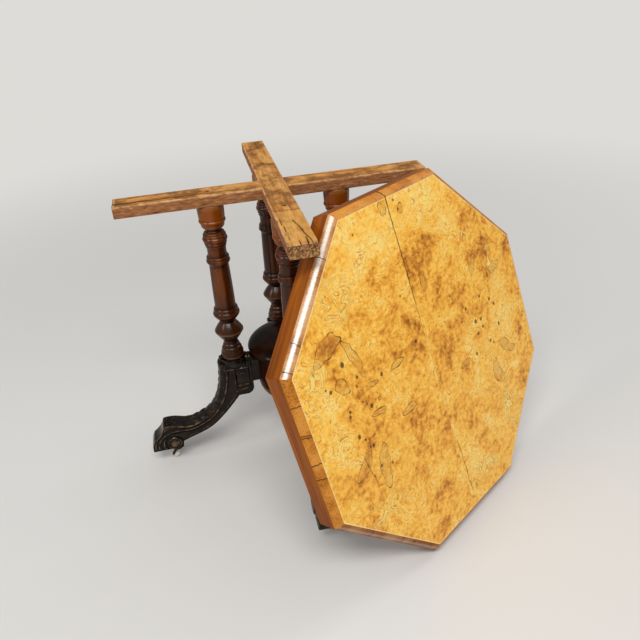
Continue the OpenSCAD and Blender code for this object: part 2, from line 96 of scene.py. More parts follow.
def swell(p, q, sag, n):
    """Points from p to q whose middle stands off the straight line by sag, to the left, as half a
    sine wave."""
    t = np.linspace(0, 1, n + 1)[:, None]
    p, q = np.array(p, float), np.array(q, float)
    d = q - p
    side = np.array([-d[1], d[0]]) / np.hypot(*d)
    return p + d * t + side * sag * np.sin(math.pi * t)


def bezier(p, h, k, q, n=30):
    """Points on the cubic curve from p to q with the handles h and k."""
    t = np.linspace(0, 1, n + 1)[:, None]
    p, h, k, q = (np.array(a, float) for a in (p, h, k, q))
    return (1 - t) ** 3 * p + 3 * (1 - t) ** 2 * t * h + 3 * (1 - t) * t * t * k + t ** 3 * q


def ellipse(reach, height, start, end, n):
    """n points on an ellipse round (0, 0), from one angle in degrees to another."""
    a = np.radians(np.linspace(start, end, n))
    return together(reach * np.cos(a), height * np.sin(a))


def path(*runs):
    """Runs of points as one path. A point that repeats the one before it is left out."""
    line = np.concatenate([np.atleast_2d(np.array(run, float)) for run in runs])
    return line[np.concatenate([[True], np.abs(np.diff(line, axis=0)).sum(1) > 1e-6])]


def length_along(line):
    """Distance from a path's start to each of its points."""
    return np.concatenate([[0], np.cumsum(np.hypot(*np.diff(line, axis=0).T))])


def spread(line, n):
    """n points at equal distances along a path."""
    at = length_along(line)
    t = np.linspace(0, at[-1], n)
    return together(*(np.interp(t, at, line[:, k]) for k in (0, 1)))


def beside(line, d, e):
    """A path moved to the right of its direction, by d at its start and by e at its end."""
    way = np.gradient(line, axis=0)
    way /= np.hypot(*way.T)[:, None]
    off = d + (e - d) * length_along(line) / length_along(line)[-1]
    return line + together(way[:, 1], -way[:, 0]) * off[:, None]


def distance_to(line, r, z):
    """Distance from each point (r, z) to the nearest of the points along a path, which are taken in
    groups so that the arrays stay small."""
    line = spread(line, max(8, int(length_along(line)[-1] / 1.5)))
    gap = np.full(r.shape, 1e9)
    for at in range(0, len(line), 40):
        part = line[at:at + 40]
        gap = np.minimum(gap, np.hypot(r[..., None] - part[:, 0], z[..., None] - part[:, 1]).min(-1))
    return gap


def ridge(gap, width):
    """1 where gap is nothing, falling in a round hump to 0 where it is as large as width."""
    return np.cos(np.clip(np.abs(gap) / width, 0, 1) * math.pi / 2) ** 2


def step(x, start, end):
    """0 before start and 1 after end, with a smooth rise between them."""
    t = np.clip((x - start) / (end - start), 0, 1)
    return t * t * (3 - 2 * t)


def ripple(x, y, sizes, seed):
    """Unevenness about 0, at most about 1: for each size a few sine waves of about that length,
    their directions and phases drawn from the seed."""
    draw = np.random.default_rng(seed)
    total = np.zeros(np.broadcast(x, y).shape)
    for size in sizes:
        for turn, phase, stretch in draw.uniform(0, 1, (5, 3)):
            a, k = turn * math.pi, 2 * math.pi / (size * (0.7 + 0.6 * stretch))
            total = total + np.sin(k * (x * math.cos(a) + y * math.sin(a)) + 7 * phase)
    return total / (2.6 * math.sqrt(len(sizes) * 5))


def make_piece(name, rings, finish, body, stands_for=(), marks=None, crease=38):
    """A closed skin over rings of points in metres: each ring joins the next, and the middle point
    of the first and of the last ring closes its end with a fan. The faces are turned outwards if
    the sum of their wedges to the first point comes out negative. Marks are values at each point
    for its material, and an edge is sharp above the crease in degrees."""
    n, m = rings.shape[:2]

    def everywhere(a):
        middles = [end.reshape(m, -1).mean(0)[None] for end in (a[:1], a[-1:])]
        return np.concatenate([a.reshape(n * m, -1), *middles])

    points = everywhere(rings)
    here = np.arange(n - 1)[:, None] * m + np.arange(m)
    beyond = np.arange(n - 1)[:, None] * m + (np.arange(m) + 1) % m
    quads = np.stack([here, beyond, beyond + m, here + m], -1).reshape(-1, 4)
    j, k = np.arange(m), (np.arange(m) + 1) % m
    fans = np.concatenate([np.stack([np.full(m, n * m), k, j], -1),
                           np.stack([np.full(m, n * m + 1), (n - 1) * m + j, (n - 1) * m + k], -1)])
    wedges = np.concatenate([quads[:, :3], quads[:, [0, 2, 3]], fans])
    a, b, c = (points[wedges[:, i]] - points[0] for i in range(3))
    if (np.cross(a, b) * c).sum() < 0:
        quads, fans = quads[:, ::-1], fans[:, ::-1]
    mesh = bpy.data.meshes.new(name)
    mesh.from_pydata(points.tolist(), [], quads.tolist() + fans.tolist())
    for key, value in (marks or {}).items():
        value = everywhere(np.broadcast_to(value, rings.shape[:2] + np.shape(value)[2:]))
        kind = "FLOAT" if value.shape[1] == 1 else "FLOAT_VECTOR"
        layer = mesh.attributes.new(key, kind, "POINT")
        layer.data.foreach_set("value" if kind == "FLOAT" else "vector", value.ravel().astype(np.float32))
    mesh.shade_smooth()
    mesh.set_sharp_from_angle(angle=math.radians(crease))
    mesh.materials.append(finish)
    piece = bpy.data.objects.new(name, mesh)
    bpy.context.scene.collection.objects.link(piece)
    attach(piece, body)
    if stands_for:
        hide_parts(*stands_for)


# Materials

def linear(colour):
    """An sRGB hex value as linear red, green, blue and alpha."""
    s = [int(colour[i:i + 2], 16) / 255 for i in (1, 3, 5)]
    return tuple(c / 12.92 if c <= 0.04045 else ((c + 0.055) / 1.055) ** 2.4 for c in s) + (1.0,)


def mm(size):
    """How often a pattern of that size in millimetres repeats in a metre."""
    return 1000.0 / size


def put(tree, kind, inputs=None, out=0, stops=None, **settings):
    """Adds a node with its settings, gives each of its sockets a value or a link, fills its colour
    ramp with stops, and returns one of its outputs."""
    node = tree.nodes.new("ShaderNode" + kind)
    for key, value in settings.items():
        setattr(node, key, value)
    for key, value in (inputs or {}).items():
        if isinstance(value, bpy.types.NodeSocket):
            tree.links.new(value, node.inputs[key])
        else:
            node.inputs[key].default_value = value
    if stops:
        elements = node.color_ramp.elements
        while len(elements) < len(stops):
            elements.new(0.5)
        for element, (at, colour) in zip(elements, stops):
            element.position = at
            element.color = linear(colour) if isinstance(colour, str) else (colour,) * 3 + (1.0,)
    return node.outputs[out] if len(node.outputs) else node


def tree_of(*values):
    """The node tree of the first link among some values."""
    return next(value.id_data for value in values if isinstance(value, bpy.types.NodeSocket))


def mark(tree, name, out="Fac"):
    """What a piece carries at its points under that name."""
    return put(tree, "Attribute", attribute_name=name, out=out)


def object_place(tree):
    """The place in the object's own coordinates."""
    return put(tree, "TexCoord", out="Object")


def noise(place, size, detail, roughness=0.5, distortion=0.0):
    """Noise from 0 to 1 in patches of about that size in millimetres."""
    return put(place.id_data, "TexNoise", {
        "Vector": place, "Scale": mm(size), "Detail": detail, "Roughness": roughness,
        "Distortion": distortion})


def streaks(place, along, across, detail=4.0):
    """Wood streaks: noise drawn out along the grain. The sizes are in millimetres."""
    scale = mm(along), mm(across), mm(across)
    at = put(place.id_data, "Mapping", {"Vector": place, "Scale": scale})
    return noise(at, 1 / METRE, detail, 0.6)  # the mapping has scaled it


def ramp(value, *stops):
    """The colour, or the grey, that the stops give to a value from 0 to 1."""
    return put(value.id_data, "ValToRGB", {"Fac": value}, stops=stops)


def between(value, start, end, low, high):
    """low where the value is at start, high where it is at end, and a straight rise between."""
    return put(value.id_data, "MapRange", {
        "Value": value, "From Min": start, "From Max": end, "To Min": low, "To Max": high})


def maths(operation, *values):
    """A sum or another operation on values, one of them a link at least."""
    return put(tree_of(*values), "Math", dict(enumerate(values)), operation=operation)


def mix(share, first, second, how="MIX"):
    """The first colour where the share is 0 and the second, a hex value or a link, where it is 1."""
    second = linear(second) if isinstance(second, str) else second
    tree = tree_of(share, first)
    return put(tree, "Mix", {0: share, 6: first, 7: second}, 2, data_type="RGBA", blend_type=how)


def over(under, colour, value, start, end, low, high):
    """One colour over another: how much of it shows is the value's range, as between() takes it."""
    return mix(between(value, start, end, low, high), under, colour)


def start_material(name, rough, specular=0.5, coat=0.0, coat_rough=0.03, metallic=0.0):
    """A material with an empty tree but for its output and its surface shader, whose constants are
    given here. The coat is its polish or glaze."""
    material = bpy.data.materials.new(name)
    material.use_nodes = True
    tree = material.node_tree
    tree.nodes.clear()
    shader = put(tree, "BsdfPrincipled", {
        "Roughness": rough, "Specular IOR Level": specular, "Coat Weight": coat,
        "Coat Roughness": coat_rough, "Metallic": metallic})
    put(tree, "OutputMaterial", {"Surface": shader})
    return material, tree


def set_surface(material, colour, height, depth, rough=None):
    """Links colour and roughness to a material's shader, and a height pattern as its bump, depth in
    millimetres, and returns the material."""
    tree = material.node_tree
    sockets = tree.nodes["Principled BSDF"].inputs
    tree.links.new(colour, sockets["Base Color"])
    if rough is not None:
        tree.links.new(rough, sockets["Roughness"])
    bump = put(tree, "Bump", {"Height": height, "Strength": 1.0, "Distance": depth * METRE})
    tree.links.new(bump, sockets["Normal"])
    return material


def old_deal():
    """Rough-sawn softwood, golden where it is handled: dull, streaked along the grain, patched with brown
    dirt, pinkish brown, darker and pitted on its sides and underside, partly dirt and partly painted shade,
    with pale arrises, partly wear and partly painted highlight, painted shade in its splits and screw holes,
    and rough dark ends."""
    material, tree = start_material("old_deal", rough=0.78, specular=0.12)
    grain = mark(tree, "grain", "Vector")
    fine = streaks(grain, 46, 1.5, 6.0)
    broad = streaks(grain, 150, 12)
    patch = noise(grain, 46, 5.0, 0.62)
    pits = streaks(grain, 16, 4.5, 6.0)
    wood = ramp(broad, (0.3, "#965C28"), (0.45, "#C68642"), (0.58, "#DCA45E"), (0.72, "#AC7032"))
    dirt = ramp(patch, (0.44, 0.0), (0.6, 0.9))
    handled = mark(tree, "handled")
    clean = maths("MULTIPLY_ADD", handled, -0.7, 1.0)
    wood = mix(maths("MULTIPLY", dirt, clean), wood, "#85562C")
    wood = mix(handled, wood, "#DDA452")
    # Sides and underside: pinkish brown and darker, partly dirt and partly painted shade
    flank_dirt_and_shade = ramp(pits, (0.32, "#784C2E"), (0.46, "#9A643E"), (0.6, "#AE764A"), (0.73, "#D2A67C"))
    wood = mix(mark(tree, "side"), wood, flank_dirt_and_shade)
    line = ramp(fine, (0.34, 0.52), (0.46, 0.88), (0.6, 1.0))
    wood = mix(0.85, wood, line, "MULTIPLY")
    # Pale arrises: partly wear, partly painted highlight
    wood = mix(mark(tree, "arris"), wood, "#DDB080")
    sawn = ramp(pits, (0.36, "#4A3020"), (0.5, "#8E643E"), (0.64, "#C49660"))
    wood = mix(mark(tree, "end"), wood, sawn)
    # Painted shade in the splits and screw holes, with the real dark of knots, the saw mark and dirt
    wood = mix(mark(tree, "deep"), wood, "#24160E")
    return set_surface(material, wood, maths("ADD", fine, pits), 0.7)


def polished_walnut():
    """Turned walnut, stained golden brown and French polished: a clear thin gloss, pale on the rings, partly
    worn polish and partly painted highlight, and near black in the hollows of the turning as painted shade."""
    material, tree = start_material("polished_walnut", rough=0.34, specular=0.02, coat=0.5, coat_rough=0.25)
    place = object_place(tree)
    upright = put(tree, "Mapping", {"Vector": place, "Rotation": (0, math.pi / 2, 0)})
    fine = streaks(upright, 60, 1.6)
    broad = streaks(upright, 260, 24)
    wood = ramp(broad, (0.32, "#280F01"), (0.5, "#4E2102"), (0.68, "#7A3E04"))
    wood = mix(0.6, wood, ramp(fine, (0.38, 0.72), (0.56, 1.0)), "MULTIPLY")
    height = put(tree, "SeparateXYZ", {0: place}, "Z")
    wood = over(wood, "#2A1508", height, 0.5, 0.36, 0, 0.7)
    wood = over(wood, "#8E4606", height, 0.6, 0.63, 0, 0.75)
    stand = mark(tree, "standing")
    # Pale on the rings that stand out: partly worn polish, partly painted highlight
    wood = over(wood, "#8C6438", stand, 0.45, 1.0, 0, 0.45)
    # Painted shade: near black in the hollows of the turning
    wood = over(wood, "#170B05", stand, -0.9, -0.12, 0.8, 0.0)
    return set_surface(material, wood, fine, 0.03)


def carved_walnut():
    """Walnut stained nearly black: a soft shine, brown where the carving stands out, partly wear and partly
    painted highlight, and black in its hollows as painted shade."""
    material, tree = start_material("carved_walnut", rough=0.3, specular=0.03, coat=0.34, coat_rough=0.17)
    place = object_place(tree)
    fine = noise(place, 4, 4.0)
    broad = noise(place, 30, 4.0)
    wood = ramp(broad, (0.34, "#0C0804"), (0.52, "#1B120A"), (0.7, "#302111"))
    stand = mark(tree, "standing")
    worn = noise(place, 16, 4.0)
    worn = between(worn, 0.38, 0.62, 0.5, 1.6)
    # Brown on what stands out, broken up in patches: partly wear and partly painted glints
    rub_and_glint = maths("MULTIPLY", stand, worn)
    wood = over(wood, "#806344", rub_and_glint, 0.45, 1.15, 0, 0.72)
    # Painted shade: near black in the hollows of the carving
    wood = over(wood, "#070403", stand, -0.9, -0.05, 0.92, 0.0)
    return set_surface(material, wood, fine, 0.12)


def hub_walnut(name, *colours):
    """The hub's turned walnut, stained red-black and polished: a deep gloss over a dark colour. The bowl
    below takes a lighter brown copy of it, painted light falling on it from below."""
    material, tree = start_material(name, rough=0.32, specular=0.02, coat=0.15, coat_rough=0.14)
    place = object_place(tree)
    fine = streaks(place, 40, 3)
    broad = noise(place, 60, 3.0)
    wood = ramp(broad, *zip((0.35, 0.5, 0.68), colours))
    return set_surface(material, wood, fine, 0.03)


def burr_veneer():
    """Burr walnut veneer, bleached golden by light and polished: a fine mottle with broad brown and
    yellow clouds, thin brown contours, pale curls with a brown edge, eyes with dark outlines, dark
    spots and splits, and a pale line where the field meets the border."""
    material, tree = start_material("burr_veneer", rough=0.32, specular=0.2, coat=0.2, coat_rough=0.16)
    face = mark(tree, "face", "Vector")
    eyes = mark(tree, "eyes")
    broad = noise(face, 85, 6.0, 0.6, 0.8)
    mottle = noise(face, 10, 6.0, 0.66)
    contour = noise(face, 44, 4.0, 0.6, 1.8)
    middle = noise(face, 27, 5.0, 0.6, 1.6)
    tone = maths("MULTIPLY_ADD", broad, 1.0, -0.23)
    calm = between(broad, 0.4, 0.58, 0.6, 0.3)
    tone = maths("MULTIPLY_ADD", maths("SUBTRACT", middle, 0.5), calm, tone)
    tone = maths("MULTIPLY_ADD", mottle, 0.6, tone)
    tone = maths("MULTIPLY_ADD", mark(tree, "shade"), -0.13, tone)
    wood = ramp(tone, (0.3, "#965A12"), (0.4, "#C88024"), (0.5, "#EDA638"), (0.6, "#FFC24A"),
                (0.78, "#FFDA78"))
    line = maths("PINGPONG", maths("MULTIPLY", contour, 9.0), 0.5)
    line = between(line, 0.02, 0.15, 1.0, 0.0)
    here = between(broad, 0.44, 0.56, 0.25, 0.8)
    wood = mix(maths("MULTIPLY", line, here), wood, "#C87418")
    there = mark(tree, "curls")
    vein = noise(face, 36, 1.0, distortion=0.8)
    vein = maths("ABSOLUTE", maths("SUBTRACT", vein, 0.5))
    for start, end, colour in ((0.036, 0.046, "#BC7622"), (0.014, 0.034, "#FFE27E")):
        curl = between(vein, start, end, 1.0, 0.0)
        wood = mix(maths("MULTIPLY", curl, there), wood, colour)
    wood = mix(mark(tree, "margin"), wood, "#FFE4A8")
    wood = over(wood, "#A8703A", eyes, 0.0, -1.5, 0, 0.22)
    rim = maths("MULTIPLY_ADD", middle, -5.0, maths("ABSOLUTE", eyes))
    wood = over(wood, "#4A2E12", rim, -2.5, -1.1, 0.9, 0.0)
    spot = maths("MULTIPLY_ADD", mottle, 3.0, mark(tree, "spots"))
    wood = over(wood, "#40291A", spot, 1.0, 2.4, 0.85, 0.0)
    return set_surface(material, wood, mottle, 0.012)


def banding(name, colours, fade, gloss, crest_glare):
    """Walnut laid in short pieces with its grain across the moulding, brown and polished: ticks across it,
    dark checks, a faded colour where the polish is gone and a pale crest, a painted highlight for the glare
    of a light along it. The gloss is the polish's, and crest_glare is how strongly the crest's painted
    highlight shows."""
    material, tree = start_material(name, rough=0.4, specular=0.08, coat=gloss, coat_rough=0.22)
    grain = mark(tree, "grain", "Vector")
    across = put(tree, "Mapping", {"Vector": grain, "Rotation": (0, 0, math.pi / 2)})
    fine = streaks(across, 34, 3.2)
    broad = noise(grain, 38, 5.0)
    wood = ramp(broad, *zip((0.3, 0.5, 0.7), colours))
    line = ramp(fine, (0.36, 0.42), (0.48, 0.95), (0.6, 1.0))
    wood = mix(0.8, wood, line, "MULTIPLY")
    wood = over(wood, fade, broad, 0.42, 0.6, 0, 0.45)
    crest = maths("MULTIPLY_ADD", mark(tree, "crest"), fine, -0.3)
    # Painted highlight: a near white glare along the moulding's crest
    wood = over(wood, "#F4E8DC", crest, -0.2, 0.15, 0, crest_glare)
    wood = over(wood, "#2A170B", mark(tree, "checks"), 0.5, 1.6, 0.9, 0.0)
    return set_surface(material, wood, fine, 0.06)


def frieze_walnut():
    """Plain walnut veneer on the edge, orange-brown and polished, its grain along the edge."""
    material, tree = start_material("frieze_walnut", rough=0.38, specular=0.08, coat=0.06, coat_rough=0.16)
    grain = mark(tree, "grain", "Vector")
    fine = streaks(grain, 90, 1.8)
    broad = streaks(grain, 260, 14)
    wood = ramp(broad, (0.32, "#6E3508"), (0.5, "#904A0C"), (0.7, "#A86014"))
    wood = mix(0.8, wood, ramp(fine, (0.36, 0.72), (0.55, 1.0)), "MULTIPLY")
    return set_surface(material, wood, fine, 0.05)


def planed_board():
    """The top's boards behind the veneer: pine, planed, brown with age and unpolished."""
    material, tree = start_material("planed_board", rough=0.72, specular=0.3)
    place = object_place(tree)
    centre, right, up, out = (from_top(*p) / METRE for p in ((0, 0, 0), (1, 0, 0), (0, 1, 0), (0, 0, 1)))
    along = Matrix([up - centre, centre - right, out - centre]).to_euler()
    boards = put(tree, "Mapping", {"Vector": place, "Rotation": along})
    fine = streaks(boards, 90, 2.2)
    broad = streaks(boards, 400, 26)
    wood = ramp(broad, (0.3, "#6E4726"), (0.5, "#8E6236"), (0.7, "#A47A48"))
    wood = mix(0.8, wood, ramp(fine, (0.38, 0.6), (0.55, 1.0)), "MULTIPLY")
    return set_surface(material, wood, fine, 0.15)


def plain_beech():
    """Dowels and glue blocks: pale close-grained wood, cut and left."""
    material, tree = start_material("plain_beech", rough=0.7, specular=0.3)
    fine = streaks(object_place(tree), 30, 1.5)
    wood = ramp(fine, (0.35, "#8E6438"), (0.6, "#B58A58"))
    return set_surface(material, wood, fine, 0.1)


def rusted_iron():
    """Iron screws gone brown: dull metal with rust in patches."""
    material, tree = start_material("rusted_iron", rough=0.6, metallic=0.6)
    rust = noise(object_place(tree), 2.5, 4.0)
    metal = ramp(rust, (0.4, "#3A332C"), (0.6, "#5A3A24"))
    return set_surface(material, metal, rust, 0.1)


def tarnished_brass():
    """Cast brass gone nearly black with age: yellow only in the few places where it is rubbed."""
    material, tree = start_material("tarnished_brass", rough=0.42, metallic=0.85)
    tarnish = noise(object_place(tree), 6, 5.0)
    metal = ramp(tarnish, (0.4, "#16110B"), (0.58, "#31261A"), (0.74, "#7A602E"))
    rough = between(tarnish, 0, 1, 0.62, 0.34)
    return set_surface(material, metal, tarnish, 0.08, rough)


def glazed_porcelain():
    """White porcelain wheels: a clear glaze, greyed with dirt where they roll."""
    material, tree = start_material("glazed_porcelain", rough=0.2, coat=0.5, coat_rough=0.08)
    dirt = noise(object_place(tree), 7, 4.0)
    glaze = ramp(dirt, (0.32, "#A89A84"), (0.46, "#DAD2C2"), (0.6, "#E6E0D4"))
    return set_surface(material, glaze, dirt, 0.03)


DEAL, COLUMN_WOOD, CARVED, BURR = old_deal(), polished_walnut(), carved_walnut(), burr_veneer()
HUB_WOOD = hub_walnut("hub_walnut", "#0B0502", "#180A04", "#2C1207")
# The bowl: the hub's wood again, lighter brown as painted light from below
BOWL_WOOD_LIT = hub_walnut("bowl_walnut_lit", "#4A2A10", "#6E4218", "#8A5A28")
FRIEZE_WOOD, BOARD, BEECH = frieze_walnut(), planed_board(), plain_beech()
BANDING = banding("cross_banding", ("#B46C1C", "#C87E28", "#D89438"), "#D48E3C", 0.06, 0.02)
# Side 8's moulding: glossier, with the strongest painted highlight along its crest
GLARE_BANDING = banding("glare_banding", ("#9A5E26", "#BA7E3C", "#CE9650"), "#D8A880", 0.7, 0.95)
FADED_BANDING = banding("faded_banding", ("#86481A", "#A86A30", "#BA8044"), "#AC8258", 0.03, 0.22)
IRON, BRASS, PORCELAIN = rusted_iron(), tarnished_brass(), glazed_porcelain()


# The base: bearers, columns, hub

def bearer(name, length, turn, upper_notch, seed):
    """One bearer: a rectangle with worn round corners carried along its length. Its height is half
    in the notch, and ripples, splits and sunk screw holes lower its upper face. At each end the
    ring shrinks to the middle, which makes the sawn end. The crossing bearer also has a saw mark,
    dirt near the middle, and beyond the mark an arm golden from handling with a broken corner."""
    half, low, high = BEARER_W / 2, BASE_HEIGHT - BEARER_D, BASE_HEIGHT
    worn = 2.4
    hole = np.arange(-5.4, 5.5, 0.6)
    arc = np.linspace(0, math.pi / 2, 5)[1:-1]
    flat = np.unique(np.concatenate([np.arange(-half + worn, half - worn, 1.7), hole, [half - worn]]))
    down = np.linspace(worn, BEARER_D - worn, 9)
    right = path(together(half - worn + worn * np.sin(arc), high - worn + worn * np.cos(arc)),
                 together(half, high - down),
                 together(half - worn + worn * np.cos(arc), low + worn - worn * np.sin(arc)))
    below = together(np.linspace(half - worn, -half + worn, 14), low)
    ring = path(together(flat, high), right, below, right[::-1] * [-1, 1])
    ends = length / 2
    lap = BEARER_W / 2 + 0.2
    stations = np.unique(np.concatenate([np.arange(-ends + 2, ends - 1.9, 2.4), hole - COLUMN_RING,
                                         hole + COLUMN_RING, [-ends + 0.6, ends - 0.6],
                                         [s * lap + d for s in (-1, 1) for d in (-0.04, 0.04)]]))
    caps = np.array([0.02, 0.25, 0.5, 0.75, 0.95])
    x = np.concatenate([np.full(5, -ends), stations, np.full(5, ends)])[:, None]
    shrink = np.concatenate([caps, np.ones(len(stations)), caps[::-1]])[:, None]
    y, z = ring[:, 0][None] * shrink, (ring[:, 1] - (low + high) / 2)[None] * shrink + (low + high) / 2
    upper = ((z > high - 0.01) & (shrink > 0.99)).astype(float)
    face = low if upper_notch else high
    z = np.where(np.abs(x) < lap, face + (z - face) * 0.5, z)
    end = step(np.abs(x), ends - 1.2, ends - 0.4)
    rough = ripple(x / 14, y, (3.2, 7), seed) * 0.3 + ripple(x, y, (60, 150), seed + 1) * 0.45
    x = x - np.sign(x) * (shrink < 0.99) * (1.1 + 1.1 * ripple(y, z, (4, 7, 13), seed + 2))
    fall = np.zeros(z.shape)
    for start, stop, at, drift, width, depth in SPLITS[name]:
        line = at + drift * (x - start) / (stop - start) + 0.7 * np.sin(x / 9)
        begun, goes_on = step(x, start - 6, start + 6), 1 - step(x, stop - 12, stop)
        fall = fall + depth * ridge(y - line, width) * begun * goes_on
    for side in (-1, 1):
        fall = np.where(np.hypot(x - side * COLUMN_RING, y) < SCREW_HOLE_R, SCREW_HOLE_DEPTH, fall)
    # Painted shade: splits and screw holes darker the deeper they go
    deep = np.clip(fall / 2.0, 0, 0.9) * upper
    handled = np.zeros(z.shape)
    for at, across, wide in KNOTS[name]:
        gap = np.hypot((x - at) * 0.7, y - across)
        deep = np.maximum(deep,
                          upper * 0.75 * np.maximum(ridge(gap, wide * 0.45), ridge(gap - wide, 0.9) * 0.7))
    if not upper_notch:
        deep = np.maximum(deep, upper * 0.8 * ridge(x - SAW_MARK - 0.05 * y, 3.0)
                          * (0.7 + 0.6 * ripple(x, y, (9, 20), 11)))
        handled = 0.6 * upper * step(-x, -SAW_MARK + 2, 12 - SAW_MARK) * (1 - step(-x, ends - 24, ends - 2))
        deep = np.maximum(deep, upper * 0.5 * ridge(x, 90) * np.clip(ripple(x / 2, y, (9, 22), 12), 0, 1))
    handled = handled * np.clip(0.8 + 0.5 * ripple(x, y, (24, 60), 13), 0, 1)
    # Pale along the upper arrises, partly wear and partly painted highlight; sawn adds the pale saw cut near
    # the ends
    arris = (ridge(np.abs(y) - half + 1.0, 2.6) * step(z, high - 4, high - 2)
             * (0.42 + 0.9 * ripple(x, y, (9, 26, 70), seed + 5)))
    sawn = ridge(np.abs(x) - ends + 3.5, 2.6) * upper * (0.6 + 0.6 * ripple(x, y, (6, 15), seed + 6))
    broken = 5.5 * step(-x, ends - 22, ends - 3) * step(-y, half - 15, half - 5) * (not upper_notch)
    z = z + upper * (rough - 0.5 - fall)
    z = (z - (1 - upper) * (z > high - 3) * 0.4 - broken * step(z, low + 8, high)
         * (0.75 + 0.4 * ripple(x, y, (3, 6), 9)))
    # Sides, and the underside at 0.7: their darker colour is partly dirt and partly painted shade
    side = np.where(np.abs(y) > half - 0.6, 1.0, 0.0) + np.where(z < low + 0.5, 0.7, 0.0)
    marks = {"grain": together(x, y, z) * METRE + seed, "deep": deep, "handled": handled,
             "side": np.clip(side, 0, 1) * (shrink > 0.99),
             "arris": np.clip(arris + sawn, 0, 0.85) * (1 - end),
             "end": np.clip(end + broken / 4 * (z > high - 9), 0, 1)}
    make_piece(name + "_worn", from_base(x, y, z, turn), DEAL, "base", (name,), marks, 50)


# Splits in the bearers: from, to, how far off the middle, drift, half width and depth
SPLITS = {
    "bearer_long": [
        (-326, -185, -7, -3, 4.6, 5.5), (-215, -30, -10, -4, 2.6, 3.2), (-326, -250, 6, -3, 2.2, 3.2),
        (110, 326, 9, -3, 1.5, 2.4), (-60, 90, -15, 3, 1.2, 1.6)],
    "bearer_cross": [
        (-320, -200, -19, 17, 2.0, 2.8), (-320, -280, -9, -1, 2.0, 4.0), (-320, -292, 3, 2, 1.5, 3.2),
        (200, 322, -8, 3, 1.0, 1.2), (-316, -180, 18, 2, 1.2, 1.8)]}
# Knots in their upper faces: the place along and across, and the radius
KNOTS = {"bearer_long": [(-156, 5.5, 5), (205, 8, 4)], "bearer_cross": [(-240, 12, 3.5), (134, 0, 7)]}
# A saw mark runs across the crossing bearer at this place along it
SAW_MARK = -158.0
bearer("bearer_long", LONG_BEARER, 0, True, 3)
bearer("bearer_cross", CROSS_BEARER, 90, False, 8)


def turned_rings(profile, segments, at_x, turn, wobble, seed):
    """A turned shape: each point (radius, height) of the profile goes round the axis at at_x, and
    its radius wobbles by a ripple."""
    a = circle(segments)
    r, z = profile[:, 0][:, None], profile[:, 1][:, None]
    r = r + wobble * ripple(a * 30, z, (40, 90), seed)
    return from_base(at_x + r * np.cos(a), r * np.sin(a), z, turn)


def standing_out(profile, span):
    """How far each point of a profile lies outside the mean radius of its surroundings, from -1 in
    a hollow to 1 on a ridge."""
    z, r = profile[:, 1], profile[:, 0]
    near = np.exp(-((z[:, None] - z[None]) / span) ** 2)
    return np.clip((r - (near * r).sum(1) / near.sum(1)) / 2.5, -1, 1)


def runs_down(height, *runs):
    """Runs of a turned profile, one below the other: each has a radius and how far below the height
    it starts, the same for its end, its swell and its steps."""
    return [swell([r, height - drop], [end_r, height - end_drop], sag, n)
            for r, drop, end_r, end_drop, sag, n in runs]


# A column's profile from its head, under the bearer, down to its foot on the leg
HEAD, COLUMN_FOOT = BASE_HEIGHT - BEARER_D, BLOCK_TOP + 12.2
NECK, SHAFT, BULB, BEAD = HEAD - 32, BLOCK_TOP + 148, BLOCK_TOP + 113, BLOCK_TOP + 59
COLUMN = path(
    [[AXIS, HEAD], [20, HEAD], [26.8, HEAD]],
    swell([28.2, HEAD - 2], [27.2, NECK], 0.3, 10),
    *runs_down(NECK, (25.8, 1, 25.8, 10, 2.6, 14), (25.2, 11, 15.6, 23, 3.4, 16),
               (15.2, 25, 19.4, 30, -0.8, 8), (20.0, 30.5, 22.0, 34.5, 1.0, 8),
               (22.6, 35, 24.4, 39.5, 1.1, 8), (24.0, 41, 24.6, 52, 2.4, 16), (23.4, 53, 23.2, 58, 1.2, 9),
               (21.8, 60, 21.4, 64.5, 1.0, 8), (20.6, 68, 21.0, 86, -0.4, 10),
               (23.2, 87, 23.6, 92, 1.1, 9), (23.8, 93, 23.6, 103, 2.1, 14)),
    swell([21.2, NECK - 106], [23.4, SHAFT], 0.4, 24),
    *runs_down(SHAFT, (25.6, 2, 26.8, 10, 1.2, 10), (27.8, 11, 27.0, 24, 2.8, 16),
               (25.6, 26, 16.6, 35, 0.7, 10)),
    *runs_down(BULB, (15.6, 2, 15.8, 3, 0, 2), (16.0, 4, 31.8, 26, 1.0, 18), (33.0, 28, 32.8, 30, 0, 1),
               (31.2, 31.5, 16.6, 54, 0.8, 16)),
    *runs_down(BEAD, (16.2, 1, 16.0, 5, 0.7, 7), (15.4, 6, 16.2, 9, 0, 3), (17.4, 10, 18.0, 17, 1.6, 10),
               (20.4, 18.5, 23.4, 28, 1.3, 10), (24.0, 29, 25.0, 38, 1.6, 10),
               (25.6, 39, 24.8, 44.8, 0.8, 8)),
    [[24.0, COLUMN_FOOT], [11, COLUMN_FOOT], [AXIS, COLUMN_FOOT]])
for quarter, angle in QUARTERS.items():
    rings = turned_rings(COLUMN, 80, COLUMN_RING, angle, 0.08, angle)
    make_piece(f"column_turned_{quarter}", rings, COLUMN_WOOD, "base",
               (f"column_{quarter}",), {"standing": standing_out(COLUMN, 7)[:, None]}, 50)

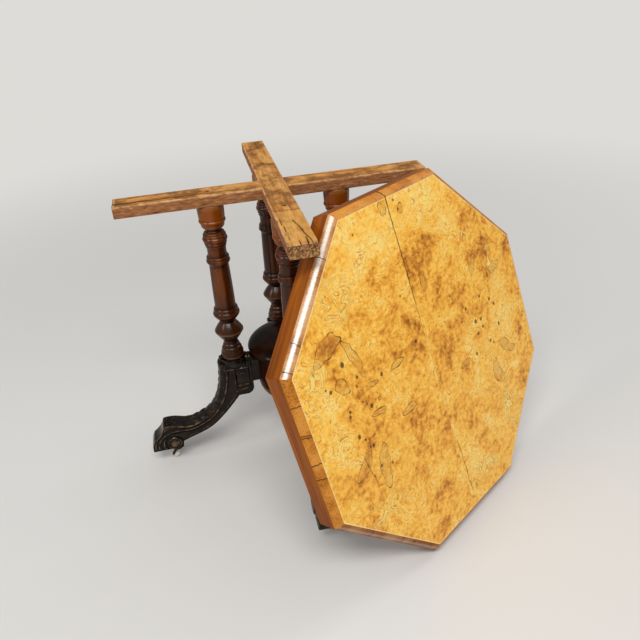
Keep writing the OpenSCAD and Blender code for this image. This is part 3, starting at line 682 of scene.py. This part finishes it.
HUB = path([[AXIS, DRUM_TOP], [70, DRUM_TOP], [83, DRUM_TOP]],
           swell([84, DRUM_TOP - 2], [82, DRUM_TOP - 8], 1.2, 10),
           [[HUB_R, DRUM_TOP - 10], [HUB_R, 240], [HUB_R, DRUM_FOOT + 1], [HUB_R - 1, DRUM_FOOT],
            [40, DRUM_FOOT], [AXIS, DRUM_FOOT]])
DOME = path(ellipse(DOME_R, DOME_H + 6, 90, 8, 44) + [AXIS, DRUM_TOP - 6],
            [[94, DRUM_TOP + 0.2], [60, DRUM_TOP + 0.2], [AXIS, DRUM_TOP + 0.2]])
BOWL = path([[AXIS, DRUM_FOOT - 0.2], [60, DRUM_FOOT - 0.2], [78.5, DRUM_FOOT - 0.2]],
            ellipse(79, -BOWL_H, 3, 79, 34) + [0, DRUM_FOOT],
            swell([12, DRUM_FOOT - BOWL_H + 1], [12, DRUM_FOOT - BOWL_H - 9], 3, 16),
            [[AXIS, DRUM_FOOT - BOWL_H - 12]])
for name, profile, finish, slot in (("hub", HUB, HUB_WOOD, "leg_walnut"),
                                    ("hub_dome", DOME, HUB_WOOD, "leg_walnut"),
                                    ("hub_bowl", BOWL, BOWL_WOOD_LIT, "column_walnut")):
    make_piece(name + "_turned", turned_rings(profile, 128, 0, 0, 0.15, 5), finish, "base", (name,),
               crease=40)


# The legs. A leg lies in the plane of r, outwards from the base's axis, and z, with y from side to
# side. Its front runs from the block down to the instep, over the toe and down to the floor side.
SHIN, INSTEP, CALF, HEEL, ANKLE = [220, 133], [278, 113], [209, 97], [132, 177], [287, 65]
SHANK = path(bezier([174, 250], [177, 200], [191, 156], SHIN, 44),
             bezier(SHIN, [244, 120], [258, 109], INSTEP, 24),
             bezier(INSTEP, [293, 117], [306, 124], [328, 119.5], 18))
TOE = path(swell([329, 118], [337, 101], -0.5, 8), swell([338, 99], [356, 83], -0.8, 10),
           swell([357, 81], [TOE_REACH, 55], 2, 12), [[TOE_REACH - 0.6, 50]])
FRONT = path([[172.5, BLOCK_TOP], [174, BLOCK_TOP - 3]], SHANK, TOE)
UNDER = path(bezier(ANKLE, [265, 76], [235, 80], CALF, 26),
             bezier(CALF, [187, 112], [161, 140], HEEL, 26))[::-1]
BACK = path([[BLOCK_IN, BLOCK_TOP], [BLOCK_IN, BLOCK_TOP - 80]], swell([BLOCK_IN, 192], [108, 177], -3, 8),
            UNDER, [[289.5, TOE_UNDER], [TOE_REACH - 1.5, TOE_UNDER]])
# Where a line across the leg starts on the back and ends on the front
ACROSS = [
    ([95, 272], [172.5, 272]), ([95, 230], [174, 236]), ([96, 190], [175.5, 205]), ([108, 177], [178, 190]),
    ([132, 177], [183, 176]), ([150, 152], [192, 160]), ([187, 112], [220, 133]), ([209, 97], [236, 122]),
    ([245, 80], [257, 114]), ([287, 65], [280, 113.5]), ([291, 47], [300, 118]), ([310, 47], [326, 119.7]),
    ([330, 47], [341, 96]), ([348, 47], [358, 78]), ([362.5, 47], [363.4, 50])]
# Carved lines in the sides, each a path with its half width and how far it stands out or lies in
BEADS = [
    (path(beside(SHANK[:-16], 10, 3.4), [[298, 117], [310, 116], [324, 113], [334, 101], [346, 88], [353, 76],
                                         [357, 62], [358, 49]]), 2.6, 1.0),
    (path(beside(SHANK[:-18], 18.5, 12), [[296, 102], [313, 100], [325, 96], [337, 87], [345, 76], [348, 62],
                                          [349, 49]]), 2.6, 1.0),
    (path(beside(SHANK[:-18], 14, 7.4), [[296, 110], [312, 108.5], [325, 105], [338, 93], [348, 80],
                                         [352, 66], [353.5, 49]]), 2.6, -1.5),
    (path(beside(SHANK[:-18], 23, 17), [[296, 96], [310, 95], [322, 90], [333, 82], [339, 72], [341, 62],
                                        [342, 49]]), 3.2, -1.7),
    (path([[138, 254]], beside(UNDER, -9, -8)[:-4], [[278, 76]]), 2.2, 0.9),
    (path([[135, 252]], beside(UNDER, -5, -4.5)[:-3]), 2.0, -1.4),
    (path([[106, 255], [162, 255.5]]), 1.8, 1.6), (path([[105, 251], [158, 251]]), 1.8, -1.2),
    (path([[103, 256], [103, 200]]), 1.8, -1.6), (path([[134.5, 243], [134.5, 208]]), 1.8, -1.6),
    (path([[116, 240.5], [133, 240.5]]), 1.6, 1.5), (path([[107, 244], [133, 244]]), 1.6, -1.4),
    (path([[106, 207.5], [134, 206]]), 1.8, 1.6), (path([[106, 211], [134, 210]]), 1.6, -1.4),
    (path([[112, 195.5], [137, 190]]), 1.8, 1.6), (path([[106, 201.5], [134, 200]]), 1.8, -1.2),
    (swell([98, 196], [128, 179], -9, 12), 1.8, -1.2)]


def nearest_share(line, points, n=1500):
    """Where along a path, as a share of its length, it comes nearest to each of some points. The
    path is tried at n places."""
    fine = spread(line, n)
    return [np.hypot(*(fine - np.array(p)).T).argmin() / (n - 1) for p in points]


def carved_leg(quarter, angle):
    """A leg: lines across it run from its back to its front, and each becomes a ring with flat
    sides, a slightly rounded back and a front that is round at the block and square at the toe.
    Beads, grooves and the toe's discs move the sides in and out, and scales the rounded front."""
    share, fine_share = np.linspace(0, 1, 300), np.linspace(0, 1, 3000)
    on_back, on_front = zip(*ACROSS)
    keys = np.linspace(0, 1, len(ACROSS)) * 0.5 + np.array(nearest_share(FRONT, on_front)) * 0.5
    ends = []
    for line, points in ((BACK, on_back), (FRONT, on_front)):
        fine, at = spread(line, len(fine_share)), np.interp(share, keys, nearest_share(line, points))
        at = np.convolve(np.pad(at, 4, mode="edge"), np.ones(9) / 9, "valid")
        at[0], at[-1] = 0, 1
        ends.append(together(*(np.interp(at, fine_share, fine[:, k]) for k in (0, 1))))
    back, front = ends
    span = np.hypot(*(front - back).T)[:, None]
    way = (front - back) / np.maximum(span, 1e-6)
    down = length_along(front)[:, None]
    block = 1 - step(down, 120, 215)
    half, round_in = LEG_W / 2, np.minimum(1.2 + 12 * block, span * 0.4)
    a, rise, lip = np.linspace(-math.pi / 2, math.pi / 2, 38)[None], np.linspace(0, 1, 48)[None], 2.0
    far = span - round_in
    side = lip + (far - lip) * rise
    depth = np.concatenate([side, far + round_in * np.cos(a[:, 1:-1]), side[:, ::-1],
                            lip - lip * np.cos(a[:, 1:-1:3]) + 0 * far], 1)
    y = np.concatenate([0 * rise - 1, np.sin(a[:, 1:-1]), 0 * rise + 1, -np.sin(a[:, 1:-1:3])], 1)
    flat = (np.abs(y) > 0.999).astype(float)
    r, z = back[:, :1] + way[:, :1] * depth, back[:, 1:] + way[:, 1:] * depth
    relief = np.zeros(r.shape)
    for line, width, out in BEADS:
        relief += out * ridge(distance_to(line, r, z), width)
    from_disc = np.hypot(r - TOE_DISC[0], z - TOE_DISC[1])
    outside = step(from_disc, TOE_DISC_R - 1, TOE_DISC_R + 1)
    disc = 1 - outside
    relief = relief * (1 - disc) + disc * (1.9 - 1.3 * ridge(from_disc - 13, 2.4) + 0.5 * ridge(from_disc, 9))
    relief -= 2.0 * ridge(from_disc - TOE_DISC_R - 3.4, 3.4) * outside
    relief += 1.0 * ridge(from_disc - TOE_DISC_R - 8.5, 2.6) * (r > 292)
    relief += 0.18 * ripple(r, z, (5, 14), angle + 1)
    lobe = np.abs(np.sin(math.pi * (r - BLOCK_IN) / 13))
    lobes = (step(z, 256 + 6 * (1 - lobe), 260 + 6 * (1 - lobe))
             * (3.4 * lobe ** 0.6 - 1.8 - 1.2 * ridge(lobe - 1, 0.12)))
    relief += lobes
    leaf = (down / 20 + 0.5 * np.abs(y) ** 1.4) % 1
    fold = step(leaf, 0.86, 0.94) * (1 - step(leaf, 0.97, 1))
    scale = 3.2 * np.sin(np.clip(leaf / 0.86, 0, 1) * 1.9) - 1.9 - 1.9 * fold
    scale = scale + 0.7 * np.cos(y * (11 - 4 * leaf)) * step(leaf, 0.1, 0.4) - 1.0 * ridge(y, 0.12) * leaf
    scale = scale + 1.5 * ridge(np.hypot((leaf - 0.45) * 20, (np.abs(y) - 0.82) * 21), 4.5)
    scale = scale * (1 - flat) * step(down, 14, 24) * (1 - step(down, 170, 235)) * (depth > lip + 3)
    cut = np.maximum(ridge((r + y * half) % 9 - 4.5, 2.2), ridge((r - y * half) % 9 - 4.5, 2.2))
    swirl = (1.5 - 3.4 * cut) * step(r, 296, 301) * (1 - step(r, 324, 329)) * (1 - flat)
    swirl = swirl * (np.abs(y) < 0.85) * (depth > far)
    y = y * half + np.sign(y) * flat * relief
    r, z = r + way[:, :1] * (scale + swirl), z + way[:, 1:] * (scale + swirl)
    arris = ridge(np.abs(np.abs(y) - half) + np.abs(depth - far), 3.2) * (1 - 0.4 * block)
    sides = (relief - disc * 1.1 - 0.75 * lobes * (lobes > 0)) * flat
    # Standing out gives the brown, partly wear and partly painted highlight; lying in gives painted shade
    stand = np.clip(sides * 0.9 + (scale + swirl) * 0.22 + arris, -1, 1)
    make_piece(f"leg_carved_{quarter}", from_base(r, y, z, angle), CARVED, "base",
               (f"leg_{quarter}",), {"standing": stand}, 42)


def crown(quarter, angle):
    """Leaves round the column's foot: a turned cup that opens upwards, whose top edge rises and
    falls as eight leaf tips do and whose side swells and folds with each leaf."""
    a = circle(120)
    leaf = np.abs(np.cos(4 * a))
    t = np.linspace(0, 1, 26)[:, None]
    sunk = 17  # how far the cup starts below the block's top
    height = BLOCK_TOP - sunk + (sunk + 8.5 + 4.5 * leaf) * t
    fold = ridge((8 * a / (2 * math.pi) + 0.5) % 1 - 0.5, 0.13)
    radius = (20.4 + 9.4 * np.sin(t * 1.9) + (2.4 * leaf + 0.9 * fold - 0.8) * t
              + 3.2 * ridge(np.sin(a / 2), 0.5) * t)
    inner = np.linspace(0, 1, 8)[1:, None]
    height = np.concatenate([height, height[-1:] - 5.0 * inner ** 0.7])
    radius = np.concatenate([radius, radius[-1:] + (24.2 - radius[-1:]) * inner])
    height = np.concatenate([height, 0 * height[-1:] + BLOCK_TOP + 4])
    radius = np.concatenate([radius, 0 * radius[-1:] + 12])
    # Leaf tips stand out and the cup's foot lies in: wear with painted highlight, and painted shade
    stand = np.concatenate([0.6 * leaf * t + 0.4 * fold * t - 0.6, np.repeat(0.6 * leaf - 0.5, 8, 0)])
    rings = from_base(COLUMN_RING + radius * np.cos(a), radius * np.sin(a), height, angle)
    make_piece(f"leg_crown_{quarter}", rings, CARVED, "base",
               marks={"standing": np.clip(stand, -1, 1)}, crease=40)


def neck(quarter, angle):
    """The neck from the hub to the block: a rounded bar whose upper face carries a leaf, its middle
    rib high, its edge waved and its tip curled up towards the column."""
    a = circle(72)
    x = np.linspace(78, 108, 34)[:, None]
    half, middle, high, round_edge = 17, 238.7, 31.8, 0.22
    y = half * np.sign(np.sin(a)) * np.abs(np.sin(a)) ** round_edge
    z = middle + high * np.sign(np.cos(a)) * np.abs(np.cos(a)) ** round_edge
    up = step(z, 262, 270)
    vein = 0.5 + 0.5 * np.cos((x + np.abs(y) * 0.8) * 2 * math.pi / 8)
    leaf = (up * (13.0 * (1 - np.abs(y / half) ** 2.4) * step(x, 76, 100)
                  + 1.5 * vein * (1 - np.abs(y) / half) + 1.6 * ridge(y, 3)))
    stand = np.clip(vein * 0.8 - 0.6, -1, 1) * up
    make_piece(f"leg_neck_{quarter}", from_base(x, y, z + leaf, angle), CARVED, "base",
               marks={"standing": stand}, crease=40)


def from_swivel(x, y, z, quarter):
    """Millimetres round a castor's swivel, its wheel trailing along x, to metres in the room."""
    c, s = cos_sin(CASTOR_TURNS[quarter])
    return from_base(SWIVEL_RING + x * c - y * s, x * s + y * c, z, QUARTERS[quarter])


def horn(quarter):
    """A castor's horn: a turned head under the plate, and on each side of the wheel a slim arm whose
    outline is the hull of a circle at the head and a smaller one round the axle."""
    head = path([[AXIS, 31.9], [7, 31.9]], swell([8.2, 32.2], [9.8, 35], -0.6, 6),
                swell([9.9, 36], [9.9, 42.6], 0.3, 6), [[9.2, 43.6], [AXIS, 43.7]])
    a = circle(40)
    rings = from_swivel(head[:, :1] * np.cos(a), head[:, :1] * np.sin(a), head[:, 1:], quarter)
    swivel = f"castor_{quarter}_swivel"
    make_piece(f"horn_head_{quarter}", rings, BRASS, swivel, (f"castor_horn_{quarter}",))
    top, eye, top_r, eye_r = np.array([1.5, 37.0]), np.array([TRAIL, WHEEL_R]), 3.4, 2.7
    way = (eye - top) / np.hypot(*(eye - top))
    depth = np.array([0.0, 0.15, 0.5, 1.9, 2.25, 2.4])[:, None]
    trim = np.array([0.6, 0.25, 0.0, 0.0, 0.25, 0.6])[:, None]
    for side in (-1, 1):
        lower = np.cos(a) * way[0] + np.sin(a) * way[1] > (top_r - eye_r) / np.hypot(*(eye - top))
        r = np.where(lower, eye_r, top_r) - trim
        x = np.where(lower, eye[0], top[0]) + r * np.cos(a)
        z = np.where(lower, eye[1], top[1]) + r * np.sin(a)
        y = side * (WHEEL_W / 2 + 0.6 + depth)
        name = f"horn_arm_{quarter}_{'near' if side < 0 else 'far'}"
        make_piece(name, from_swivel(x, y, z, quarter), BRASS, swivel)


for quarter, angle in QUARTERS.items():
    horn(quarter)
    carved_leg(quarter, angle)
    crown(quarter, angle)
    neck(quarter, angle)


# The top

# Eyes of the burr: the middle (u, v), half length, half width and tilt of each outline
EYES = [
    (-110, 52, 19, 7, 8), (-111, -47, 21, 8, 7), (89, -51, 18, 7, 7), (193, -127, 31, 15, -70),
    (248, -84, 32, 13, -39), (-257, 78, 18, 12, -49), (-210, 114, 43, 9, -72), (-264, 157, 37, 17, 23),
    (-190, -10, 20, 7, -9), (-265, -84, 31, 11, 35), (-216, -112, 46, 13, -102), (269, 104, 22, 11, 8),
    (193, 139, 23, 12, -105), (26, 165, 18, 8, -85), (-29, 336, 13, 10, -73), (20, 322, 10, 6, -97),
    (-187, 48, 17, 4, -9), (-180, 14, 4, 4, 0)]
# Dark spots: the middle and radius of each
SPOTS = [
    (192, 63, 3.2), (225, 42, 3), (238, 26, 3), (135, 57, 3.4), (158, 17, 4), (178, 14, 3.2), (179, -4, 3),
    (157, -11, 3.4), (238, -24, 3.4), (193, -46, 3), (203, -55, 2.4), (133, -50, 3.4), (-241, 115, 4.5),
    (-157, 53, 3.4), (-217, 78, 3), (-224, 62, 2), (-204, 11, 3.6), (-258, 28, 3), (-261, 20, 3),
    (-256, -25, 3.6), (-244, -38, 2.4), (-230, -59, 3), (-238, -57, 2.4), (7, 342, 2.2), (14, 322, 2.6),
    (-122, 317, 1.8), (95, 104, 2.2), (58, 62, 1.8), (-42, 66, 3), (-214, 21, 2), (-222, 29, 1.8),
    (-227, -106, 2.6), (-198, -117, 2.2), (112, 37, 1.8), (-49, 166, 1.8), (-40, 158, 1.8), (45, 81, 1.8),
    (196, -92, 2), (-285, 83, 3), (-294, 92, 2)]
# Fine checks, small splits in the veneer, each from one point to another
CHECKS = [
    ((-7, -186), (-2, -317)), ((-304, -7), (-280, -8)), ((-250, -128), (-262, -60)), ((60, 330), (66, 322))]
# Where pale lines curl: the middle and the reach along u and v
CURLS = [
    (209, 202, 44, 30), (-214, 229, 46, 50), (-318, 105, 16, 26), (215, -215, 40, 60), (-240, -189, 60, 30),
    (262, 120, 20, 40), (-290, 128, 18, 22), (60, -300, 60, 24)]
# Broad shades: the middle, the reach along u and v, and how dark, or below 0 how pale
SHADES = [
    (71, 242, 46, 24, 0.9), (31, 214, 34, 24, 0.8), (-39, 218, 42, 26, 0.6), (-10, 208, 7, 22, 1.1),
    (13, 58, 16, 22, 1.1), (-42, 66, 13, 18, 0.9), (23, 16, 12, 14, 0.8), (30, -30, 62, 46, 0.5),
    (-262, 160, 30, 18, 1.8), (-231, -42, 36, 32, 0.9), (-127, -194, 13, 28, 1.1), (-80, -248, 24, 14, 0.6),
    (-113, 226, 40, 28, 0.4), (-166, 179, 34, 24, 0.35), (246, 175, 22, 26, 0.6), (273, 112, 10, 22, 0.5),
    (170, 20, 46, 46, 0.4), (-15, 16, 4, 56, -1.4), (265, -138, 12, 16, -1.1), (-292, 128, 16, 24, -2.0),
    (-297, 62, 20, 24, -1.7), (-311, -34, 34, 40, -0.8), (-290, -153, 13, 12, -0.8),
    (-110, 300, 120, 60, -1.3), (90, 330, 100, 30, -1.3), (272, 10, 16, 80, -0.6), (268, 108, 14, 10, -1.0),
    (-214, 229, 60, 60, -0.5), (140, 235, 30, 30, -0.4), (60, -270, 130, 60, -0.5),
    (-240, -189, 60, 26, 0.25)]


def cloud(u, v, mid_u, mid_v, wide, high):
    """1 at the middle of a cloud, fading round it as a bell curve of that reach along u and v."""
    return np.exp(-((u - mid_u) / wide) ** 2 - ((v - mid_v) / high) ** 2)


def figure(u, v):
    """The burr's figure at points of the face: how far outside an eye's outline, an ellipse whose
    radius waves, each point lies, how far outside a spot, a check or the joint, the sum of the
    shades, how much of the curls shows there, and a line along the octagon's edge."""
    at_u, at_v = u + 3.5 * ripple(u, v, (24, 50), 31), v + 3.5 * ripple(u, v, (24, 50), 32)
    eyes, spots, shade = (np.full(u.shape, start) for start in (99.0, 99.0, 0.0))
    for n, (mid_u, mid_v, long, wide, tilt) in enumerate(EYES):
        c, s = cos_sin(tilt)
        x, y = (at_u - mid_u) * c + (at_v - mid_v) * s, (at_v - mid_v) * c - (at_u - mid_u) * s
        turn = np.arctan2(y / wide, x / long)
        share = (np.hypot(x / long, y / wide)
                 * (1 + 0.1 * np.sin(3 * turn + n) + 0.06 * np.sin(5 * turn + 2 * n)))
        gap = np.hypot(x, y) * (1 - 1 / np.maximum(share, 1e-3))
        eyes = np.where(np.abs(gap) < np.abs(eyes), gap, eyes)
    for mid_u, mid_v, radius in SPOTS:
        spots = np.minimum(spots, np.hypot(u - mid_u, (v - mid_v) * 0.8) - radius)
    seam = np.abs(u - JOINT_AT + 0.9 * ripple(0 * u, v, (26, 60), 41)) + 99 * (v < 60)
    seam = seam - 1.3 * step(v, 80, 190) * (0.8 + 0.7 * ripple(u, v, (14, 34), 42))
    spots = np.minimum(spots, seam)
    for start, end in CHECKS:
        spots = np.minimum(spots, distance_to(np.array([start, end], float), at_u, at_v) - 0.9)
    far_u, far_v = u + 12 * ripple(u, v, (30, 70), 33), v + 12 * ripple(u, v, (30, 70), 34)
    for mid_u, mid_v, wide, high, dark in SHADES:
        shade += dark * cloud(far_u, far_v, mid_u, mid_v, wide, high)
    curls = np.clip(1.4 * sum(cloud(far_u, far_v, *curl) for curl in CURLS) - 0.25, 0, 0.85)
    out = np.max([v * c + u * s for c, s in (cos_sin(45 * k) for k in range(8))], 0)
    margin = 0.7 * step(out, FIELD_APOTHEM - 2.6, FIELD_APOTHEM - 1.4)
    return {"eyes": eyes, "spots": spots, "shade": shade, "curls": curls, "margin": margin}


def veneer_half(side):
    """One half of the field: rows run from the joint to the octagon's edge at each height v, and the
    back row of each ring closes it as a thin sheet. The joint gapes towards the upper side."""
    edge, rows, columns = FIELD_APOTHEM - 0.2, 300, 170
    v = np.linspace(-edge, edge, rows)[:, None]
    s = np.linspace(0, 1, columns)[None]
    closed = 0.05
    gape = closed + (JOINT_OPEN / 2 - closed) * np.clip((v - JOINT_END) / (edge - JOINT_END), 0, 1)
    out = np.minimum(edge, edge * math.sqrt(2) - np.abs(v))
    u = (JOINT_AT + side * gape) + s * (side * out - JOINT_AT - side * gape)
    w = FIELD_W - 0.1 + 0.1 * ripple(u, v, (60, 170), 4)
    u, v = np.broadcast_arrays(u, v)
    back = np.linspace(columns - 1, 0, 12).round().astype(int)

    def both(a, b):
        return np.concatenate([a, b[:, back]], 1)

    rings = from_top(both(u, u), both(v, v), both(w, np.full(w.shape, FIELD_W - VENEER_T)))
    marks = {"face": together(np.abs(u - JOINT_AT), v, 20.0 * side) * METRE, **figure(u, v)}
    marks = {key: both(value, value) for key, value in marks.items()}
    name = "left" if side < 0 else "right"
    make_piece(f"burr_{name}", rings, BURR, "top", (f"veneer_{name}",), marks)


def on_side(number, along, out):
    """Along one side of the octagon and out from the middle, to u and v. Side 1 is the upper one."""
    c, s = cos_sin(-45 * (number - 1))
    return along * c - out * s, along * s + out * c


# Checks across the border: the side, the place along it and the lean
BORDER_CHECKS = [
    (8, 70, 0.1), (8, -88, 0.15), (8, -138, 0), (1, -13, -0.4), (1, -12, -0.4), (7, 40, 0.2), (7, 36, 0.2),
    (7, -18, -0.1), (7, -48, 0.15), (7, 96, 0), (6, -30, -0.5), (6, 62, 0), (2, 40, 0), (4, -60, 0.1),
    (4, 38, 0)]


def edge_length(name, number, section, finish, stands_for, relief=0.0):
    """A mitred length of the top's edge: the section (out, w) is carried along its side, and each
    of its points goes as far as the mitre lets it. Relief is how uneven its show face is."""
    t = np.linspace(-1, 1, 240)[:, None]
    out, w = section[:, 0][None], section[:, 1][None]
    along = t * (out * MITRE - 0.12)
    w = w + (w > FRIEZE_H + 1) * relief * (ripple(along, out + 300 * number, (26, 80), number) - 1)
    u, v = on_side(number, along, out)
    checks = np.full(w.shape, 99.0)
    for side, at, lean in BORDER_CHECKS:
        if side == number:
            checks = np.minimum(checks, np.abs(along - at - lean * (out - 360) + 0.6 * np.sin(out)))
    marks = {"grain": together(along, out, w) * METRE + number, "checks": checks,
             "crest": ridge(out - 362, 5.0)}
    make_piece(name, from_top(u, v, w), finish, "top", (stands_for,), marks)


for side in (-1, 1):
    veneer_half(side)
MOULDING = path([[FIELD_APOTHEM, FRIEZE_H + 0.2], [360, FRIEZE_H + 0.2], [APOTHEM - 0.4, FRIEZE_H + 0.2]],
                swell([APOTHEM, FRIEZE_H + 1.5], [FIELD_APOTHEM, FIELD_W], -1.8, 24))
EDGE = path(swell([APOTHEM - FRIEZE_T, 0.3], [APOTHEM - 0.5, 0], 0, 6),
            swell([APOTHEM, 0.5], [APOTHEM, FRIEZE_H - 0.5], 0, 10),
            swell([APOTHEM - 0.5, FRIEZE_H], [APOTHEM - FRIEZE_T, FRIEZE_H], 0, 6))
for number in range(1, 9):
    finish = {6: FADED_BANDING, 8: GLARE_BANDING}.get(number, BANDING)
    edge_length(f"moulding_{number}", number, MOULDING, finish, f"border_{number}", 0.1)
    edge_length(f"edge_{number}", number, EDGE, FRIEZE_WOOD, f"frieze_{number}")

# CAD nodes that keep their shape
KEPT = {
    "bearer_screws": IRON, "leg_dowels": BEECH, "glue_blocks": BEECH, "castor_screws": IRON,
    "top_board_left": BOARD, "top_board_right": BOARD}
for quarter in QUARTERS:
    KEPT[f"castor_wheel_{quarter}"] = PORCELAIN
    for part in ("plate", "axle"):
        KEPT[f"castor_{part}_{quarter}"] = BRASS
for name, finish in KEPT.items():
    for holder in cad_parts[name].material_slots:
        holder.material = finish


# Floor, light and camera

def lamp(name, place, aim, wide, high, watts):
    """A soft light with a rectangular face, turned so that it shines from place to aim."""
    data = bpy.data.lights.new(name, "AREA")
    data.shape, data.size, data.size_y, data.energy = "RECTANGLE", wide, high, watts
    light = bpy.data.objects.new(name, data)
    light.location = place
    away = np.array(place) - np.array(aim)
    light.rotation_euler = (math.acos(away[2] / np.linalg.norm(away)), 0, math.atan2(away[0], -away[1]))
    bpy.context.scene.collection.objects.link(light)


lamp("key_light", (-0.5, -1.7, 2.9), (0, 0, 0.4), 2.0, 0.7, 56)
lamp("left_light", (-2.6, -0.7, 2.2), (0, 0, 0.4), 0.7, 0.7, 15)
lamp("right_light", (2.4, 0.6, 2.3), (0, 0, 0.4), 1.0, 1.0, 16)

PALE = linear("#DEDCD8")


def pale_paper():
    """The floor: matt pale paper that goes over into the plain backdrop with distance, so that the
    camera sees no edge of it."""
    material, tree = start_material("pale_paper", rough=0.9, specular=0.1)
    paper = tree.nodes["Principled BSDF"]
    paper.inputs["Base Color"].default_value = PALE
    place = put(tree, "NewGeometry", out="Position")
    away = put(tree, "VectorMath", {0: place}, "Value", operation="LENGTH")
    away = put(tree, "MapRange", {"Value": away, "From Min": 0.7, "From Max": 3.2},
               interpolation_type="SMOOTHSTEP")
    away = maths("MULTIPLY", away, put(tree, "LightPath", out="Is Camera Ray"))
    plain = put(tree, "Emission", {"Color": PALE})
    blend = put(tree, "MixShader", {0: away, 1: paper.outputs[0], 2: plain})
    tree.links.new(blend, tree.nodes["Material Output"].inputs["Surface"])
    return material


floor = bpy.data.meshes.new("floor")
floor.from_pydata([(-30, -30, 0), (30, -30, 0), (30, 30, 0), (-30, 30, 0)], [], [(0, 1, 2, 3)])
floor.materials.append(pale_paper())
floor = bpy.data.objects.new("floor", floor)
bpy.context.scene.collection.objects.link(floor)

scene = bpy.context.scene
scene.view_settings.view_transform = "Standard"
scene.world = bpy.data.worlds.new("studio")
scene.world.use_nodes = True
tree = scene.world.node_tree
tree.nodes.clear()
# A grey sky lights the table, and the camera sees the paper's own pale colour instead of it
ray = put(tree, "LightPath", out="Is Camera Ray")
light = mix(ray, (0.42, 0.42, 0.42, 1), PALE)
sky = put(tree, "Background", {"Color": light})
put(tree, "OutputWorld", {"Surface": sky})

camera = bpy.data.cameras.new("camera")
camera.lens, camera.sensor_width, camera.sensor_fit = 35.075, 36.0, "HORIZONTAL"
camera = bpy.data.objects.new("camera", camera)
camera.matrix_world = Matrix((
    (0.97272, 0.16442, -0.16364, -0.27835),
    (-0.22552, 0.50500, -0.83314, -1.16900),
    (-0.05434, 0.84731, 0.52831, 1.12450),
    (0, 0, 0, 1)))
scene.collection.objects.link(camera)
scene.camera = camera

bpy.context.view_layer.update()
